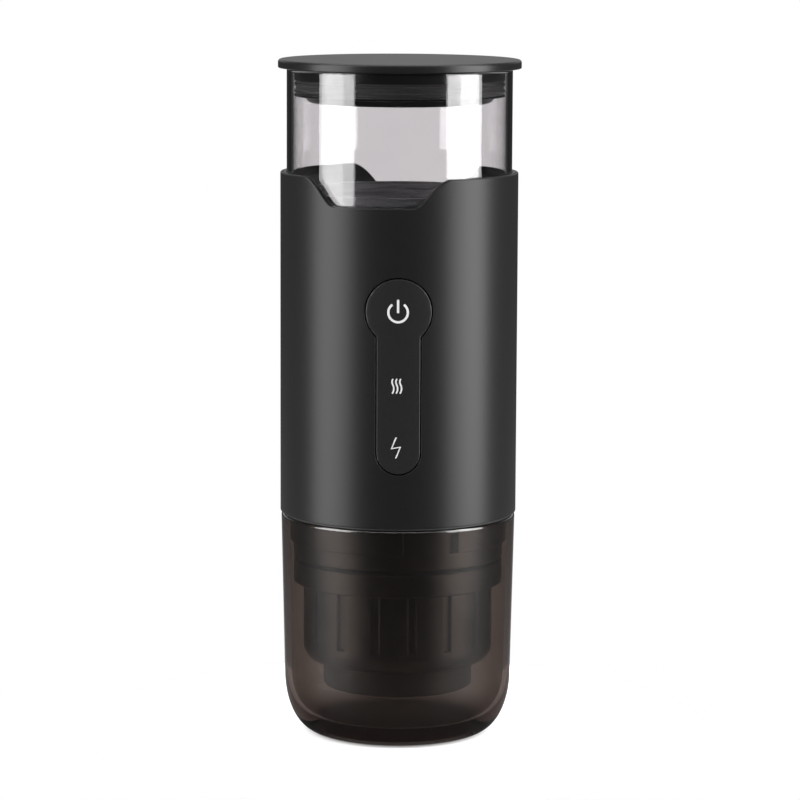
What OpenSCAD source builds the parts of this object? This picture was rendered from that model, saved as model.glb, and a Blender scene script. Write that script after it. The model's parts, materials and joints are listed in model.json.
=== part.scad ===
// Portable capsule coffee machine: a cup, a machine body with a glass tank, and a lid.
// Everything shares one upright axis. The foot of the cup stands at the origin,
// +Z is up, and the key plate faces -Y.

/* [Sleeve] */
// Outer diameter of the metal sleeve
sleeve_d = 75; // [70:0.5:90]
// Wall of the sleeve
sleeve_wall = 1; // [0.6:0.1:1.6]
// Open seam between the sleeve and the rim of the cup
seam = 0.5; // [0.3:0.1:1.2]
// Chamfer on the lower edge of the sleeve
sleeve_chamfer = 0.4; // [0.1:0.1:0.5]
// Depth of the two notches in the rim
notch_depth = 8.6; // [4:0.2:10]
// Turn of the notches from the front, towards -X
notch_turn = 13; // [0:1:40]
// Half of a notch's width, as an angle, at half its depth
notch_half = 28.25; // [20:0.25:40]
// Angle that the lower half of a notch's slope takes
notch_low = 8.7; // [5:0.1:12]
// Angle that the upper half of a notch's slope takes
notch_high = 13.3; // [8:0.1:18]

/* [Cup] */
// Wall of the cup
cup_wall = 2.2; // [1.6:0.1:2.8]
// Thickness of the cup's floor
cup_floor = 6; // [3:0.5:8]
// How far the rim of the cup is set in from the sleeve
cup_inset = 0.3; // [0:0.1:0.8]
// How much the cup's radius shrinks from its rim to its corner
cup_taper = 1.1; // [0:0.1:1.6]
// Width of the rounded corner at the foot
corner_w = 10; // [6:0.5:12]
// Height of the rounded corner at the foot
corner_h = 18.6; // [12:0.2:22]
// Width of the flat ring that the cup stands on
foot_w = 4; // [2:0.5:6]
// Depth of the hollow inside the foot ring
foot_hollow = 0.6; // [0.2:0.1:1.2]
// How far the silicone feet stand out of the foot ring
pad_proud = 0.3; // [0.2:0.05:0.6]
// Number of silicone feet
pad_count = 4; // [3:1:8]

/* [Lid] */
// How far the lid stands out past the glass
lid_over = 2.75; // [1.5:0.25:4]
// Thickness of the lid's disc
lid_t = 2.7; // [2:0.1:4]
// Radius of the lid's upper edge
lid_edge = 0.9; // [0.3:0.1:1]
// Length of the lid's plug above its nose
plug_h = 8.7; // [7:0.1:12]
// Length of the nose under the plug
nose_h = 2.1; // [1:0.1:4]
// How far the nose is set in from the plug
nose_step = 4.3; // [2:0.1:6]
// Room between the lid's seal and the glass
lid_clear = 0.3; // [0.2:0.05:0.6]
// Wall of the hollow plug
plug_wall = 2; // [1.5:0.1:3]

/* [Tank] */
// Wall of the glass tube
glass_wall = 2; // [1.5:0.1:2.6]
// Length of glass that stands above the sleeve
glass_show = 32.5; // [20:0.5:50]
// Length of glass that is sunk in the sleeve
glass_sunk = 16.3; // [14:0.1:24]
// Room between the glass and the housing round it
tank_clear = 0.25; // [0.1:0.05:0.5]
// Wall of the housing round the glass
liner_wall = 0.7; // [0.5:0.1:1.5]
// Wall of the boiler pot
pot_wall = 1.2; // [0.8:0.1:2]
// Thickness of the boiler pot's floor
pot_floor = 2; // [1:0.1:3]
// Height of the boiler pot below the glass
pot_low_h = 8; // [6:0.5:14]
// Height of the pot's collar inside the glass
collar_up = 11.5; // [9:0.1:14]
// Thickness of the silicone gasket between pot and glass
gasket_t = 0.9; // [0.7:0.1:1.4]
// Thickness of the gasket's foot under the glass
gasket_foot = 1; // [0.6:0.1:2]
// Number of sealing ribs on the gasket
gasket_ribs = 5; // [3:1:6]

/* [Key plate] */
// Diameter of the round end of the key plate
key_disc_d = 20.5; // [16:0.5:24]
// Width of the key plate's strip
key_strip_w = 13.6; // [10:0.2:15]
// Whole length of the key plate
key_len = 60.6; // [52:0.2:62]
// Thickness of the key plate
key_t = 1.2; // [1:0.1:1.4]
// Gap round the key plate
key_gap = 0.35; // [0.2:0.05:0.6]
// How far the key plate lies below the sleeve's surface
key_sunk = 0.1; // [0:0.05:0.3]
// Drop from the heat shield to the centre of the plate's round end
key_drop = 7.1; // [6.5:0.1:9]
// Diameter of the key plate's pivot pin
key_pin_d = 1.6; // [1.2:0.1:2]

/* [Brew group] */
// Height from the cup's floor to the spout when the holder is unscrewed
spout_clear = 3; // [1.5:0.5:8]
// Travel of the capsule holder along its screw thread
screw_drop = 6; // [5:0.5:8]
// Height of the spout nozzle below the holder
nozzle_h = 8.4; // [8:0.2:12]
// Height of the rounded heel of the capsule holder
heel_h = 5.1; // [3:0.1:8]
// Height of the ribbed grip of the capsule holder
grip_h = 20.2; // [19:0.2:26]
// Height of the capsule holder's collar
collar_h = 7.3; // [6:0.1:10]
// Gap between the capsule holder and the neck above it
head_gap = 1; // [0.6:0.1:2]
// Height of the neck that stands in the cup
neck_h = 14.3; // [13:0.1:20]
// Height of the raised bands on the neck
band_h = 8.1; // [5:0.1:11]
// How far the bands stand out from the neck
band_t = 1.2; // [0.6:0.1:1.6]
// Room between the bands and the cup
band_clear = 0.6; // [0.4:0.1:1]
// Angle of the gap between two bands
band_gap = 30; // [15:1:45]
// Turn of the first band gap from the front, towards +X
band_turn = 18; // [0:1:60]
// Number of bands
band_count = 3; // [2:1:4]
// How far the grip is set in from the collar
grip_step = 3.1; // [2:0.1:4]
// How far the heel rounds in from the grip
heel_w = 3.6; // [2:0.1:4.5]
// How far the nozzle is set in from the heel
nozzle_step = 2.8; // [1.5:0.1:3.5]
// Number of grooves round the grip
groove_count = 16; // [10:1:20]
// Width of a grip groove
groove_w = 2.6; // [1.5:0.1:4]
// Depth of a grip groove
groove_deep = 0.9; // [0.4:0.1:1.2]
// Turn of the first groove from the front, towards +X
groove_turn = 8.7; // [0:0.1:20]
// Length of the grooves
groove_len = 18.6; // [14:0.2:18.8]
// Wall of the capsule holder
holder_wall = 2.4; // [1.8:0.1:3]
// Wall of the holder's collar round the screwed boss
collar_wall = 4.6; // [3.5:0.1:6]
// Length of the boss that the holder screws on
boss_drop = 5; // [4:0.1:5.8]

/* [Capsule] */
// Diameter of the capsule's rim
rim_d = 37.4; // [35:0.2:39]
// Diameter of the capsule under its rim
capsule_d = 30.4; // [28:0.2:31]
// Diameter of the capsule at its lower end
capsule_end_d = 24.6; // [22:0.2:26]
// Height of the capsule under its rim
capsule_h = 27.2; // [25:0.2:28]
// Wall of the capsule basket at its mouth
basket_wall = 2; // [1.4:0.1:2.6]

/* [Machine bay] */
// Thickness of the deck that closes the sleeve
deck_t = 4; // [3:0.5:6]
// Thickness of the brew head's flange
flange_t = 2.2; // [1.5:0.1:4]
// Diameter of a battery cell
cell_d = 18.4; // [18:0.1:19]
// Length of a battery cell
cell_h = 65; // [63:0.5:75]
// Floor of the cradle under the cells
cradle_t = 1.5; // [1:0.1:3]
// Free height above the cells
cell_head = 2; // [1.5:0.1:4]
// Thickness of the heat shield
shield_t = 1.6; // [1:0.1:3]
// Diameter of the heating element's tube
element_d = 5; // [3:0.1:6]
// Free height between the heat shield and the element
element_gap = 1.4; // [0.8:0.1:4]
// Width of each step in the housing's bore
ledge_w = 0.65; // [0.4:0.05:1]
// Diameter of the pump's case
pump_d = 22; // [18:0.5:23]
// Length of the pump's case
pump_h = 34; // [28:0.5:38]
// Distance of the pump's axis in front of the machine's axis
pump_off = 5; // [3:0.5:6]
// Stroke of the pump's piston
pump_stroke = 4; // [2:0.5:5]
// Outer diameter of the water hoses
hose_d = 8.8; // [7:0.2:9]
// Width of the control board
board_w = 24; // [22:0.5:26]
// Thickness of the control board
board_t = 1.6; // [1:0.1:2]
// Height of the charging socket above the foot of the sleeve
socket_up = 18; // [16:0.5:24]

/* [Hidden] */
$fn = 96;
// Overshoot of a cutting tool past the face that it opens
cut = 1;
// Play between fixed pieces that slip into each other
fit = 0.05;
// Play between pieces that move past each other
play = 0.4;
// Steps in an outline's quarter round
round_steps = 10;

// Heights, from the foot of the cup upwards
z_nozzle = cup_floor + spout_clear + screw_drop;
z_foot = z_nozzle + nozzle_h;
z_heel = z_foot + heel_h;
z_shoulder = z_heel + grip_h;
z_collar = z_shoulder + collar_h;
z_neck = z_collar + head_gap;
z_base = z_neck + neck_h;
z_cup = z_base - seam;
z_deck = z_base + deck_t;
z_flange = z_deck + flange_t;
z_cells = z_flange + cradle_t;
z_cell_top = z_cells + cell_h;
z_shield = z_cell_top + cell_head;
z_shield_top = z_shield + shield_t;
z_ledge = z_shield_top + element_gap + element_d;
z_seat = z_ledge + pot_low_h;
z_glass = z_seat + gasket_foot;
z_rim = z_glass + glass_sunk;
z_lid = z_rim + glass_show;
z_tank_floor = z_ledge + pot_floor;
z_pot_rim = z_seat + collar_up;

// Radii, from the sleeve inwards
sleeve_r = sleeve_d / 2;
sleeve_bore = sleeve_r - sleeve_wall;
housing_r = sleeve_bore - fit;
liner_bore = housing_r - liner_wall;
shield_bore = liner_bore - ledge_w;
housing_bore = shield_bore - ledge_w;
glass_r = liner_bore - tank_clear;
glass_bore = glass_r - glass_wall;
pot_collar_r = glass_bore - gasket_t;
pot_bore = pot_collar_r - pot_wall;
lid_r = glass_r + lid_over;
lip_r = glass_bore - lid_clear;

// Radii of the cup and of the brew group inside it
cup_r = sleeve_r - cup_inset;
cup_low_r = cup_r - cup_taper;
cup_bore = cup_r - cup_wall;
corner_r = cup_low_r - corner_w;
band_r = cup_bore - band_clear;
neck_r = band_r - band_t;
grip_r = neck_r - grip_step;
heel_r = grip_r - heel_w;
nozzle_r = heel_r - nozzle_step;
thread_bore = neck_r - collar_wall;
boss_r = thread_bore - play;

// Silicone feet, let into the foot ring of the cup
pad_r = 0.35 * foot_w;
pad_orbit = corner_r - foot_w / 2;
pad_sunk = foot_hollow;
z_ring = pad_proud;

// Capsule chamber
rim_lip = 1;
basket_flange_t = 2;
basket_flange_w = 2.6;
basket_floor = 1.8;
outlet_t = 0.8;
seat_gap = 1.5;
z_boss = z_neck - boss_drop;
z_basket = z_boss - seat_gap;
z_basket_under = z_basket - basket_flange_t;
z_outlet = z_basket - rim_lip - capsule_h - outlet_t;
z_basket_end = z_outlet - basket_floor;
basket_r = capsule_d / 2 + basket_wall;
basket_flange_r = rim_d / 2 + basket_flange_w;
holder_bore = basket_r + play;
outlet_r = capsule_end_d / 2 - fit;

// Brew head
head_wall = 3.6;
head_floor = 6;
recess_h = 2.5;
plate_t = 1;
plate_r = rim_d / 2 + 1.3;
gasket_w = 4;
chamber_h = 1;
barb_r = 2.6;
barb_bore = 1.4;
post_r = 4;
screw_orbit = neck_r - 3.2;
flange_r = screw_orbit + 2.5;
screw_angles = [-60, -120, 120];
screw_r = 1.1;
screw_head_r = 2;
screw_head_h = 1.2;
screw_len = 12;
needle_count = 5;
needle_orbit = 8;
needle_len = 6;
needle_r = 1.4;
needle_tip = 0.25;

// Battery
cell_r = cell_d / 2;
cell_orbit = housing_bore - play - cell_r;
cell_angles = [-7, 187, 58];
socket_wall = 1.5;
socket_h = 4;
clamp_t = 3;
clamp_below = 6;
tab_t = 0.3;
tab_w = 6;

// Pump
pump_r = pump_d / 2;
pump_at = [0, -pump_off, 0];
stand_h = 15;
stand_wall = 1.6;
stand_ledge = 1.2;
stand_grip = 3;
stand_window = 8;
z_pump = z_cells + stand_h;
z_pump_top = z_pump + pump_h;
tube_r = 5;
piston_r = 3.55;
piston_len = 18;
piston_head = 2;
pump_cap_t = 3;
tube_bore = piston_r + fit;
port_r = 1.2;
barb_len = 8;
hose_r = hose_d / 2;
hose_bore = barb_r + fit;
coil_r = pump_r - 1.5;
z_piston_top = z_pump_top - pump_cap_t - piston_head;
z_piston = z_piston_top - piston_len;
spring_len = 2 * pump_stroke;
spring_wire = 0.35;
spring_turns = 5;
spring_r = piston_r - spring_wire - 3 * fit;
z_spring = z_piston - spring_len;

// Key plate and control board
key_disc_r = key_disc_d / 2;
key_strip_r = key_strip_w / 2;
key_z = z_shield - key_drop;
key_low_z = key_z + key_disc_r - key_len;
key_face = sleeve_r - key_sunk;
key_back = key_face - key_t;
window_edge = 0.8;
key_pin_r = key_pin_d / 2;
pin_up = 4;
pin_grip = 1.8;
pin_z = key_low_z + pin_up;
pin_half = key_strip_r + key_gap + window_edge + pin_grip;
pin_mid_r = (housing_r + housing_bore) / 2;
pin_y = -sqrt(pin_mid_r * pin_mid_r - pow(pin_half - pin_grip / 2, 2));
lug_r = 1.8;
lug_w = 2;
lug_x = 3.2;
board_behind = 5.9;
board_y = -key_back + board_behind;
board_under = 6;
board_over = 6;
z_board = pin_z - board_under;
z_board_top = key_z + board_over;
rail_w = 3.2;
rail_lip = 1.2;
rail_cheek = 1.4;
switch_w = 6;
switch_t = 3.8;
plunger_r = 1.7;
plunger_gap = 0.2;
plunger_in = 1.2;
plunger_well = 2.6;
guide_r = 1.5;
guide_gap = 0.6;
charge_icon_up = 8.35;
charge_icon_drop = key_len - key_disc_r - charge_icon_up;
heat_icon_drop = charge_icon_drop * 0.543;

// Charging socket
socket_z = z_base + socket_up;
port_w = 9;
port_h = 3.2;
port_len = 8;
port_wall = 0.35;
tongue_w = 6.6;
tongue_t = 0.7;
recess_w = 11.6;
recess_d = 5.6;
hood_w = 13;
hood_h = 8;
hood_deep = 6.5;
charge_w = 10;
charge_t = 1.2;
charge_h = 18;
charge_low = 4;
charge_y = housing_bore - hood_deep - charge_t;
rear_cell = cell_orbit * [cos(cell_angles[2]), sin(cell_angles[2])];
rear_cell_reach = sqrt(pow(cell_r + play, 2) - pow(charge_y - rear_cell[1], 2));
charge_right = min(charge_w / 2, rear_cell[0] - rear_cell_reach);

// Tank fittings
element_orbit = 22;
element_open = 30;
terminal_r = 1.2;
terminal_drop = 6.5;
terminal_at = [element_orbit * sin(element_open / 2), -element_orbit * cos(element_open / 2)];
nipple_drop = 6;
strainer_r = 7;
strainer_h = 2.6;
strainer_hole_r = 0.6;
sensor_r = 2.5;
sensor_h = 3;
sensor_at = [9, 9];
pot_groove = 0.5;
pot_groove_pitch = 2;
pot_groove_count = 4;
gasket_rib = gasket_t / 2;
wire_r = 0.7;
wire_drop = 3;

// Points of an arc of an ellipse, from angle a to angle b
function arc(at, rx, ry, a, b) = [
    for (i = [0 : round_steps])
        let (t = a + (b - a) * i / round_steps)
        [at[0] + rx * cos(t), at[1] + ry * sin(t)]
];

// A solid of revolution about the machine's axis
module turned(outline) {
    rotate_extrude() polygon(outline);
}

// An upright ring
module ring(outer, inner, low, high) {
    translate([0, 0, low])
        difference() {
            cylinder(r = outer, h = high - low);
            translate([0, 0, -cut]) cylinder(r = inner, h = high - low + 2 * cut);
        }
}

// An upright rod
module rod(radius, low, high) {
    translate([0, 0, low]) cylinder(r = radius, h = high - low);
}

// A rod along -Y, from the plane y = near outwards
module front_rod(radius, near, length) {
    translate([0, near, 0]) rotate([90, 0, 0]) cylinder(r = radius, h = length);
}

// A flat bar with round ends along Y, centred on X and Z
module stadium(width, height, length) {
    rotate([-90, 0, 0])
        linear_extrude(length)
            union() {
                square([width - height, height], center = true);
                for (side = [-1, 1])
                    translate([side * (width - height) / 2, 0]) circle(d = height);
            }
}

// The keyhole outline of the key plate as a bar along Y, grown by a margin
module keyhole(margin) {
    rotate([90, 0, 0])
        linear_extrude(sleeve_r + cut)
            union() {
                translate([0, key_z]) circle(r = key_disc_r + margin);
                translate([0, key_low_z + key_strip_r]) circle(r = key_strip_r + margin);
                translate([-key_strip_r - margin, key_low_z + key_strip_r])
                    square([key_strip_w + 2 * margin, key_z - key_low_z - key_strip_r]);
            }
}

// Half of the S-shaped slope of a notch: one half at t = 0, none at t = 1
function slope(t, steep) = pow(1 - t, 2) * (0.5 * (1 + 2 * t) - steep * t);

// Height of a notch's edge at an angle from the middle of the notch
notch_steep = 0.075;
notch_lip = 0.35;
function notch_share(a) =
    let (past = abs(a) - notch_half)
    past < -notch_low ? 0
    : past < 0 ? slope(-past / notch_low, notch_steep * notch_low)
    : past < notch_high ? 1 - slope(past / notch_high, notch_steep * notch_high)
    : 1;
function notch_z(a) = z_rim - notch_depth + (notch_depth + notch_lip) * notch_share(a);

// Cutter for one notch, with faces that point at the axis
notch_steps = 14;
notch_from = housing_bore - cut;
notch_to = sleeve_r + cut;

module notch_cutter() {
    floor_half = notch_half - notch_low;
    slope_span = notch_low + notch_high;
    angles = [
        for (i = [notch_steps : -1 : 1]) -floor_half - slope_span * i / notch_steps,
        for (i = [0 : notch_steps]) floor_half * (2 * i / notch_steps - 1),
        for (i = [1 : notch_steps]) floor_half + slope_span * i / notch_steps
    ];
    count = len(angles);
    top = z_rim + 2 * cut;
    points = [
        for (a = angles)
            for (corner = [[notch_from, 0], [notch_to, 0], [notch_to, 1], [notch_from, 1]])
                [corner[0] * sin(a), -corner[0] * cos(a), corner[1] == 1 ? top : notch_z(a)]
    ];
    sides = [
        for (i = [0 : count - 2])
            for (k = [0 : 3])
                let (a = 4 * i + k, b = 4 * i + (k + 1) % 4)
                for (face = [[a, b, b + 4], [a, b + 4, a + 4]]) face
    ];
    last = 4 * (count - 1);
    ends = [[0, 2, 1], [0, 3, 2], [last, last + 1, last + 2], [last, last + 2, last + 3]];
    polyhedron(points, concat(sides, ends));
}

module rim_notches() {
    for (side = [0, 180]) rotate([0, 0, side - notch_turn]) notch_cutter();
}

// Cup, its feet and its seal

module at_pads() {
    for (i = [0 : pad_count - 1])
        rotate([0, 0, i * 360 / pad_count]) translate([pad_orbit, 0, 0]) children();
}

module cup() {
    color([0.13, 0.1, 0.09, 0.6])
        difference() {
            turned(concat(
                [[0, z_ring]],
                arc([corner_r, corner_h], corner_w, corner_h - z_ring, -90, 0),
                [[cup_r, z_cup], [cup_bore, z_cup]],
                arc([corner_r, corner_h], corner_w - cup_wall, corner_h - cup_floor, 0, -90),
                [[0, cup_floor]]
            ));
            rod(corner_r - foot_w, -cut, z_ring + foot_hollow);
            at_pads() rod(pad_r + fit, -cut, z_ring + pad_sunk);
        }
}

module foot_pads() {
    color([0.08, 0.08, 0.08])
        at_pads() rod(pad_r, 0, z_ring + pad_sunk);
}

seal_deep = 1;
seal_edge = 0.15;
seal_w = 1.2;
module cup_seal() {
    color([0.08, 0.08, 0.08])
        ring(cup_bore + seal_edge + seal_w, cup_bore + seal_edge, z_cup, z_base + seal_deep);
}

// Brew group

module neck_bands() {
    pitch = 360 / band_count;
    for (i = [0 : band_count - 1])
        rotate([0, 0, band_turn - 90 + band_gap / 2 + i * pitch])
            rotate_extrude(angle = pitch - band_gap)
                translate([neck_r - cut, z_base - band_h])
                    square([band_t + cut, band_h]);
}

module base_frame() {
    color([0.1, 0.1, 0.1])
        difference() {
            union() {
                ring(housing_r, boss_r + fit, z_base, z_deck);
                ring(neck_r, boss_r + fit, z_neck, z_base + cut);
                difference() {
                    neck_bands();
                    rod(boss_r + cut, z_neck - cut, z_deck);
                }
            }
            ring(
                cup_bore + seal_edge + seal_w + fit, cup_bore + seal_edge - fit,
                z_base - cut, z_base + seal_deep
            );
            for (a = screw_angles)
                rotate([0, 0, a])
                    translate([screw_orbit, 0, z_deck + flange_t + cradle_t - screw_len - cut])
                        cylinder(r = screw_r + fit, h = screw_len + 2 * cut);
        }
}

module brew_head() {
    color([0.16, 0.16, 0.16])
        difference() {
            union() {
                difference() {
                    union() {
                        rod(boss_r, z_boss, z_deck + cut);
                        rod(flange_r, z_deck, z_flange);
                    }
                    rod(boss_r - head_wall, z_boss + head_floor, z_flange + cut);
                }
                translate(pump_at) rod(post_r, z_boss + head_floor - cut, z_flange);
                translate(pump_at) rod(barb_r, z_flange - cut, z_cells + barb_len / 2);
            }
            rod(plate_r + fit, z_boss - cut, z_boss + recess_h);
            rod(plate_r - gasket_w, z_boss, z_boss + recess_h + chamber_h);
            translate(pump_at) rod(barb_bore, z_boss, z_cells + barb_len / 2 + cut);
            for (a = screw_angles)
                rotate([0, 0, a])
                    translate([screw_orbit, 0, 0])
                        rod(screw_r + fit, z_deck - cut, z_flange + cut);
        }
}

module piercing_plate() {
    top = z_boss + recess_h;
    color([0.75, 0.75, 0.76]) {
        difference() {
            rod(plate_r, top - plate_t, top);
            for (i = [0 : needle_count - 1])
                rotate([0, 0, (i + 0.5) * 360 / needle_count])
                    translate([needle_orbit, 0, 0]) rod(needle_tip * 3, top - plate_t - cut, top + cut);
        }
        for (i = [0 : needle_count - 1])
            rotate([0, 0, i * 360 / needle_count])
                translate([needle_orbit, 0, top - plate_t - needle_len])
                    cylinder(r1 = needle_tip, r2 = needle_r, h = needle_len + plate_t / 2);
    }
}

module brew_gasket() {
    color([0.35, 0.35, 0.35])
        ring(plate_r, plate_r - gasket_w, z_basket + play, z_boss + recess_h - plate_t);
}

groove_z = 4;
ring_r = 0.7;
module capsule_basket() {
    color([0.22, 0.22, 0.23])
        difference() {
            turned([
                [0, z_basket_end], [basket_r, z_basket_end],
                [basket_r, z_basket_under], [basket_flange_r, z_basket_under],
                [basket_flange_r, z_basket], [rim_d / 2, z_basket],
                [rim_d / 2, z_basket - rim_lip], [capsule_d / 2, z_basket - rim_lip],
                [capsule_end_d / 2, z_outlet], [0, z_outlet]
            ]);
            ring(
                basket_r + cut, basket_r - 1.6 * ring_r,
                z_basket_end + groove_z - ring_r, z_basket_end + groove_z + ring_r
            );
            rod(outlet_r - 3, z_basket_end - cut, z_outlet + cut);
        }
}

module basket_ring() {
    color([0.5, 0.16, 0.12])
        translate([0, 0, z_basket_end + groove_z])
            rotate_extrude() translate([basket_r - 0.6 * ring_r, 0]) circle(r = ring_r - fit);
}

outlet_needles = 3;
module outlet_plate() {
    color([0.75, 0.75, 0.76]) {
        difference() {
            rod(outlet_r, z_outlet, z_outlet + outlet_t);
            for (i = [0 : outlet_needles * 2 - 1])
                rotate([0, 0, (i + 0.5) * 180 / outlet_needles])
                    translate([outlet_r / 2, 0, 0])
                        rod(needle_tip * 3, z_outlet - cut, z_outlet + outlet_t + cut);
        }
        for (i = [0 : outlet_needles - 1])
            rotate([0, 0, i * 360 / outlet_needles])
                translate([outlet_r / 3, 0, z_outlet + outlet_t / 2])
                    cylinder(r1 = needle_r, r2 = needle_tip, h = needle_len / 2);
    }
}

module capsule_holder() {
    step_z = z_boss - play - fit;
    roof_z = z_basket_under - holder_wall;
    mouth_h = holder_wall;
    skirt_r = min(holder_bore + holder_wall, nozzle_r - spout_wall - play);
    color([0.09, 0.09, 0.09])
        difference() {
            turned(concat(
                [[thread_bore, z_collar], [neck_r, z_collar], [neck_r, z_shoulder], [grip_r, z_shoulder]],
                arc([heel_r, z_heel], heel_w, heel_h, 0, -90),
                [
                    [nozzle_r + fit, z_foot], [nozzle_r + fit, z_foot + mouth_h],
                    [grip_r - holder_wall, z_heel + mouth_h], [grip_r - holder_wall, roof_z],
                    [skirt_r, roof_z], [skirt_r, z_foot],
                    [holder_bore, z_foot], [holder_bore, z_basket_under],
                    [basket_flange_r + play, z_basket_under], [basket_flange_r + play, step_z],
                    [thread_bore, step_z]
                ]
            ));
            for (i = [0 : groove_count - 1])
                rotate([0, 0, groove_turn + i * 360 / groove_count])
                    translate([-groove_w / 2, -grip_r - cut, z_shoulder - groove_len])
                        cube([groove_w, groove_deep + cut, groove_len]);
        }
}

spout_r = 4;
spout_wall = 1.6;
funnel_fall = 2;
module spout_nozzle() {
    inside = nozzle_r - spout_wall;
    under = z_basket_end - play;
    color([0.12, 0.11, 0.1])
        turned([
            [spout_r, z_nozzle], [spout_r + spout_wall, z_nozzle],
            [spout_r + spout_wall, under - funnel_fall - spout_wall], [inside, under - spout_wall],
            [inside, z_nozzle], [nozzle_r, z_nozzle], [nozzle_r, z_foot + holder_wall - fit],
            [inside, z_foot + holder_wall - fit], [inside, under], [spout_r, under - funnel_fall]
        ]);
}

// Outer sleeve and inner housing

module outer_sleeve() {
    rim_chamfer = sleeve_chamfer / 2;
    color([0.11, 0.11, 0.115])
        difference() {
            turned([
                [sleeve_bore, z_base], [sleeve_r - sleeve_chamfer, z_base],
                [sleeve_r, z_base + sleeve_chamfer], [sleeve_r, z_rim - rim_chamfer],
                [sleeve_r - rim_chamfer, z_rim], [sleeve_bore, z_rim]
            ]);
            rim_notches();
            keyhole(key_gap);
            translate([0, 0, socket_z]) stadium(recess_w, recess_d, sleeve_r + cut);
        }
}

module housing_rails() {
    inner = board_w / 2 - rail_lip;
    for (side = [-1, 1])
        difference() {
            intersection() {
                translate([
                    side > 0 ? inner : -inner - rail_w,
                    -housing_r, z_board + rail_w
                ])
                    cube([
                        rail_w, housing_r + board_y + board_t + rail_cheek,
                        z_board_top - z_board - 2 * rail_w
                    ]);
                rod(housing_bore + fit, z_board, z_board_top);
            }
            translate([-board_w / 2 - fit, board_y - fit, z_board])
                cube([board_w + 2 * fit, board_t + 2 * fit, z_board_top - z_board]);
        }
}

module socket_hood() {
    intersection() {
        translate([-hood_w / 2, housing_bore - hood_deep, socket_z - hood_h / 2])
            cube([hood_w, hood_deep + cut, hood_h]);
        rod(housing_bore + fit, socket_z - hood_h, socket_z + hood_h);
    }
}

module inner_housing() {
    color([0.07, 0.07, 0.07])
        difference() {
            union() {
                difference() {
                    turned([
                        [housing_bore, z_deck], [housing_r, z_deck], [housing_r, z_rim],
                        [liner_bore, z_rim], [liner_bore, z_ledge], [shield_bore, z_ledge],
                        [shield_bore, z_shield], [housing_bore, z_shield]
                    ]);
                    rim_notches();
                    keyhole(key_gap + window_edge);
                }
                housing_rails();
                socket_hood();
            }
            translate([0, 0, socket_z])
                stadium(port_w + 2 * fit, port_h + 2 * fit, sleeve_r + cut);
            translate([0, pin_y, pin_z])
                rotate([0, 90, 0])
                    cylinder(r = key_pin_r + fit / 2, h = 2 * (pin_half + fit), center = true);
        }
}

// Battery

module at_cells() {
    for (a = cell_angles) rotate([0, 0, a]) translate([cell_orbit, 0, 0]) children();
}

module deck_screws() {
    color([0.6, 0.6, 0.62])
        for (a = screw_angles)
            rotate([0, 0, a])
                translate([screw_orbit, 0, 0]) {
                    rod(screw_head_r, z_cells, z_cells + screw_head_h);
                    rod(screw_r, z_cells - screw_len, z_cells + screw_head_h / 2);
                }
}

module cell_cradle() {
    color([0.2, 0.2, 0.21])
        difference() {
            union() {
                rod(housing_bore - play, z_flange, z_cells);
                intersection() {
                    at_cells() rod(cell_r + socket_wall, z_flange, z_cells + socket_h);
                    rod(housing_bore - play, z_flange, z_cells + socket_h);
                }
            }
            at_cells() rod(cell_r + fit, z_cells, z_cells + socket_h + cut);
            translate(pump_at) rod(pump_r - 2 * stand_ledge, z_flange - cut, z_cells + cut);
            for (a = screw_angles)
                rotate([0, 0, a])
                    translate([screw_orbit, 0, 0]) rod(screw_r + fit, z_flange - cut, z_cells + cut);
        }
}

module battery_cells() {
    nub_r = 3;
    color([0.2, 0.42, 0.3])
        at_cells() {
            rod(cell_r, z_cells, z_cell_top - tab_t);
            rod(nub_r, z_cell_top - tab_t - cut, z_cell_top);
        }
}

module cell_clamp() {
    low = z_cell_top - clamp_below - clamp_t;
    color([0.2, 0.2, 0.21])
        difference() {
            rod(housing_bore - play, low, low + clamp_t);
            at_cells() rod(cell_r + fit, low - cut, low + clamp_t + cut);
            translate(pump_at) rod(pump_r - stand_ledge, low - cut, low + clamp_t + cut);
            translate([-housing_r, -housing_r, low - cut])
                cube([2 * housing_r, housing_r + board_y + board_t + 2 * rail_cheek, clamp_t + 2 * cut]);
        }
}

module cell_tabs() {
    right = cell_orbit * [cos(cell_angles[0]), sin(cell_angles[0])];
    across = rear_cell - right;
    color([0.7, 0.7, 0.68]) {
        translate([right[0], right[1], z_cell_top])
            rotate([0, 0, atan2(across[1], across[0])])
                translate([-tab_w / 2, -tab_w / 2, 0])
                    cube([norm(across) + tab_w, tab_w, tab_t]);
        rotate([0, 0, cell_angles[1]])
            translate([cell_orbit - tab_w / 2, -tab_w / 2, z_cell_top]) cube([tab_w, tab_w, tab_t]);
    }
}

// Pump

module pump_stand() {
    color([0.12, 0.12, 0.12])
        translate(pump_at)
            difference() {
                ring(pump_r + stand_wall, pump_r - stand_ledge, z_cells, z_pump + stand_grip);
                rod(pump_r + fit, z_pump, z_pump + stand_grip + cut);
                for (side = [0, 90])
                    rotate([0, 0, side])
                        translate([-stand_window / 2, -2 * pump_r, z_cells + stand_window / 2])
                            cube([stand_window, 4 * pump_r, stand_window]);
            }
}

module pump_case() {
    color([0.15, 0.15, 0.15])
        translate(pump_at)
            difference() {
                rod(pump_r, z_pump, z_pump_top - pump_cap_t);
                rod(coil_r + fit, z_pump + pump_cap_t, z_pump_top);
                rod(tube_r + fit, z_pump - cut, z_pump_top);
            }
}

module pump_coil() {
    color([0.72, 0.43, 0.25])
        translate(pump_at)
            ring(coil_r, tube_r + fit, z_pump + pump_cap_t, z_pump_top - pump_cap_t);
}

module pump_end_plate() {
    color([0.6, 0.6, 0.62])
        translate(pump_at) ring(pump_r, tube_r + fit, z_pump_top - pump_cap_t, z_pump_top);
}

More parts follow.
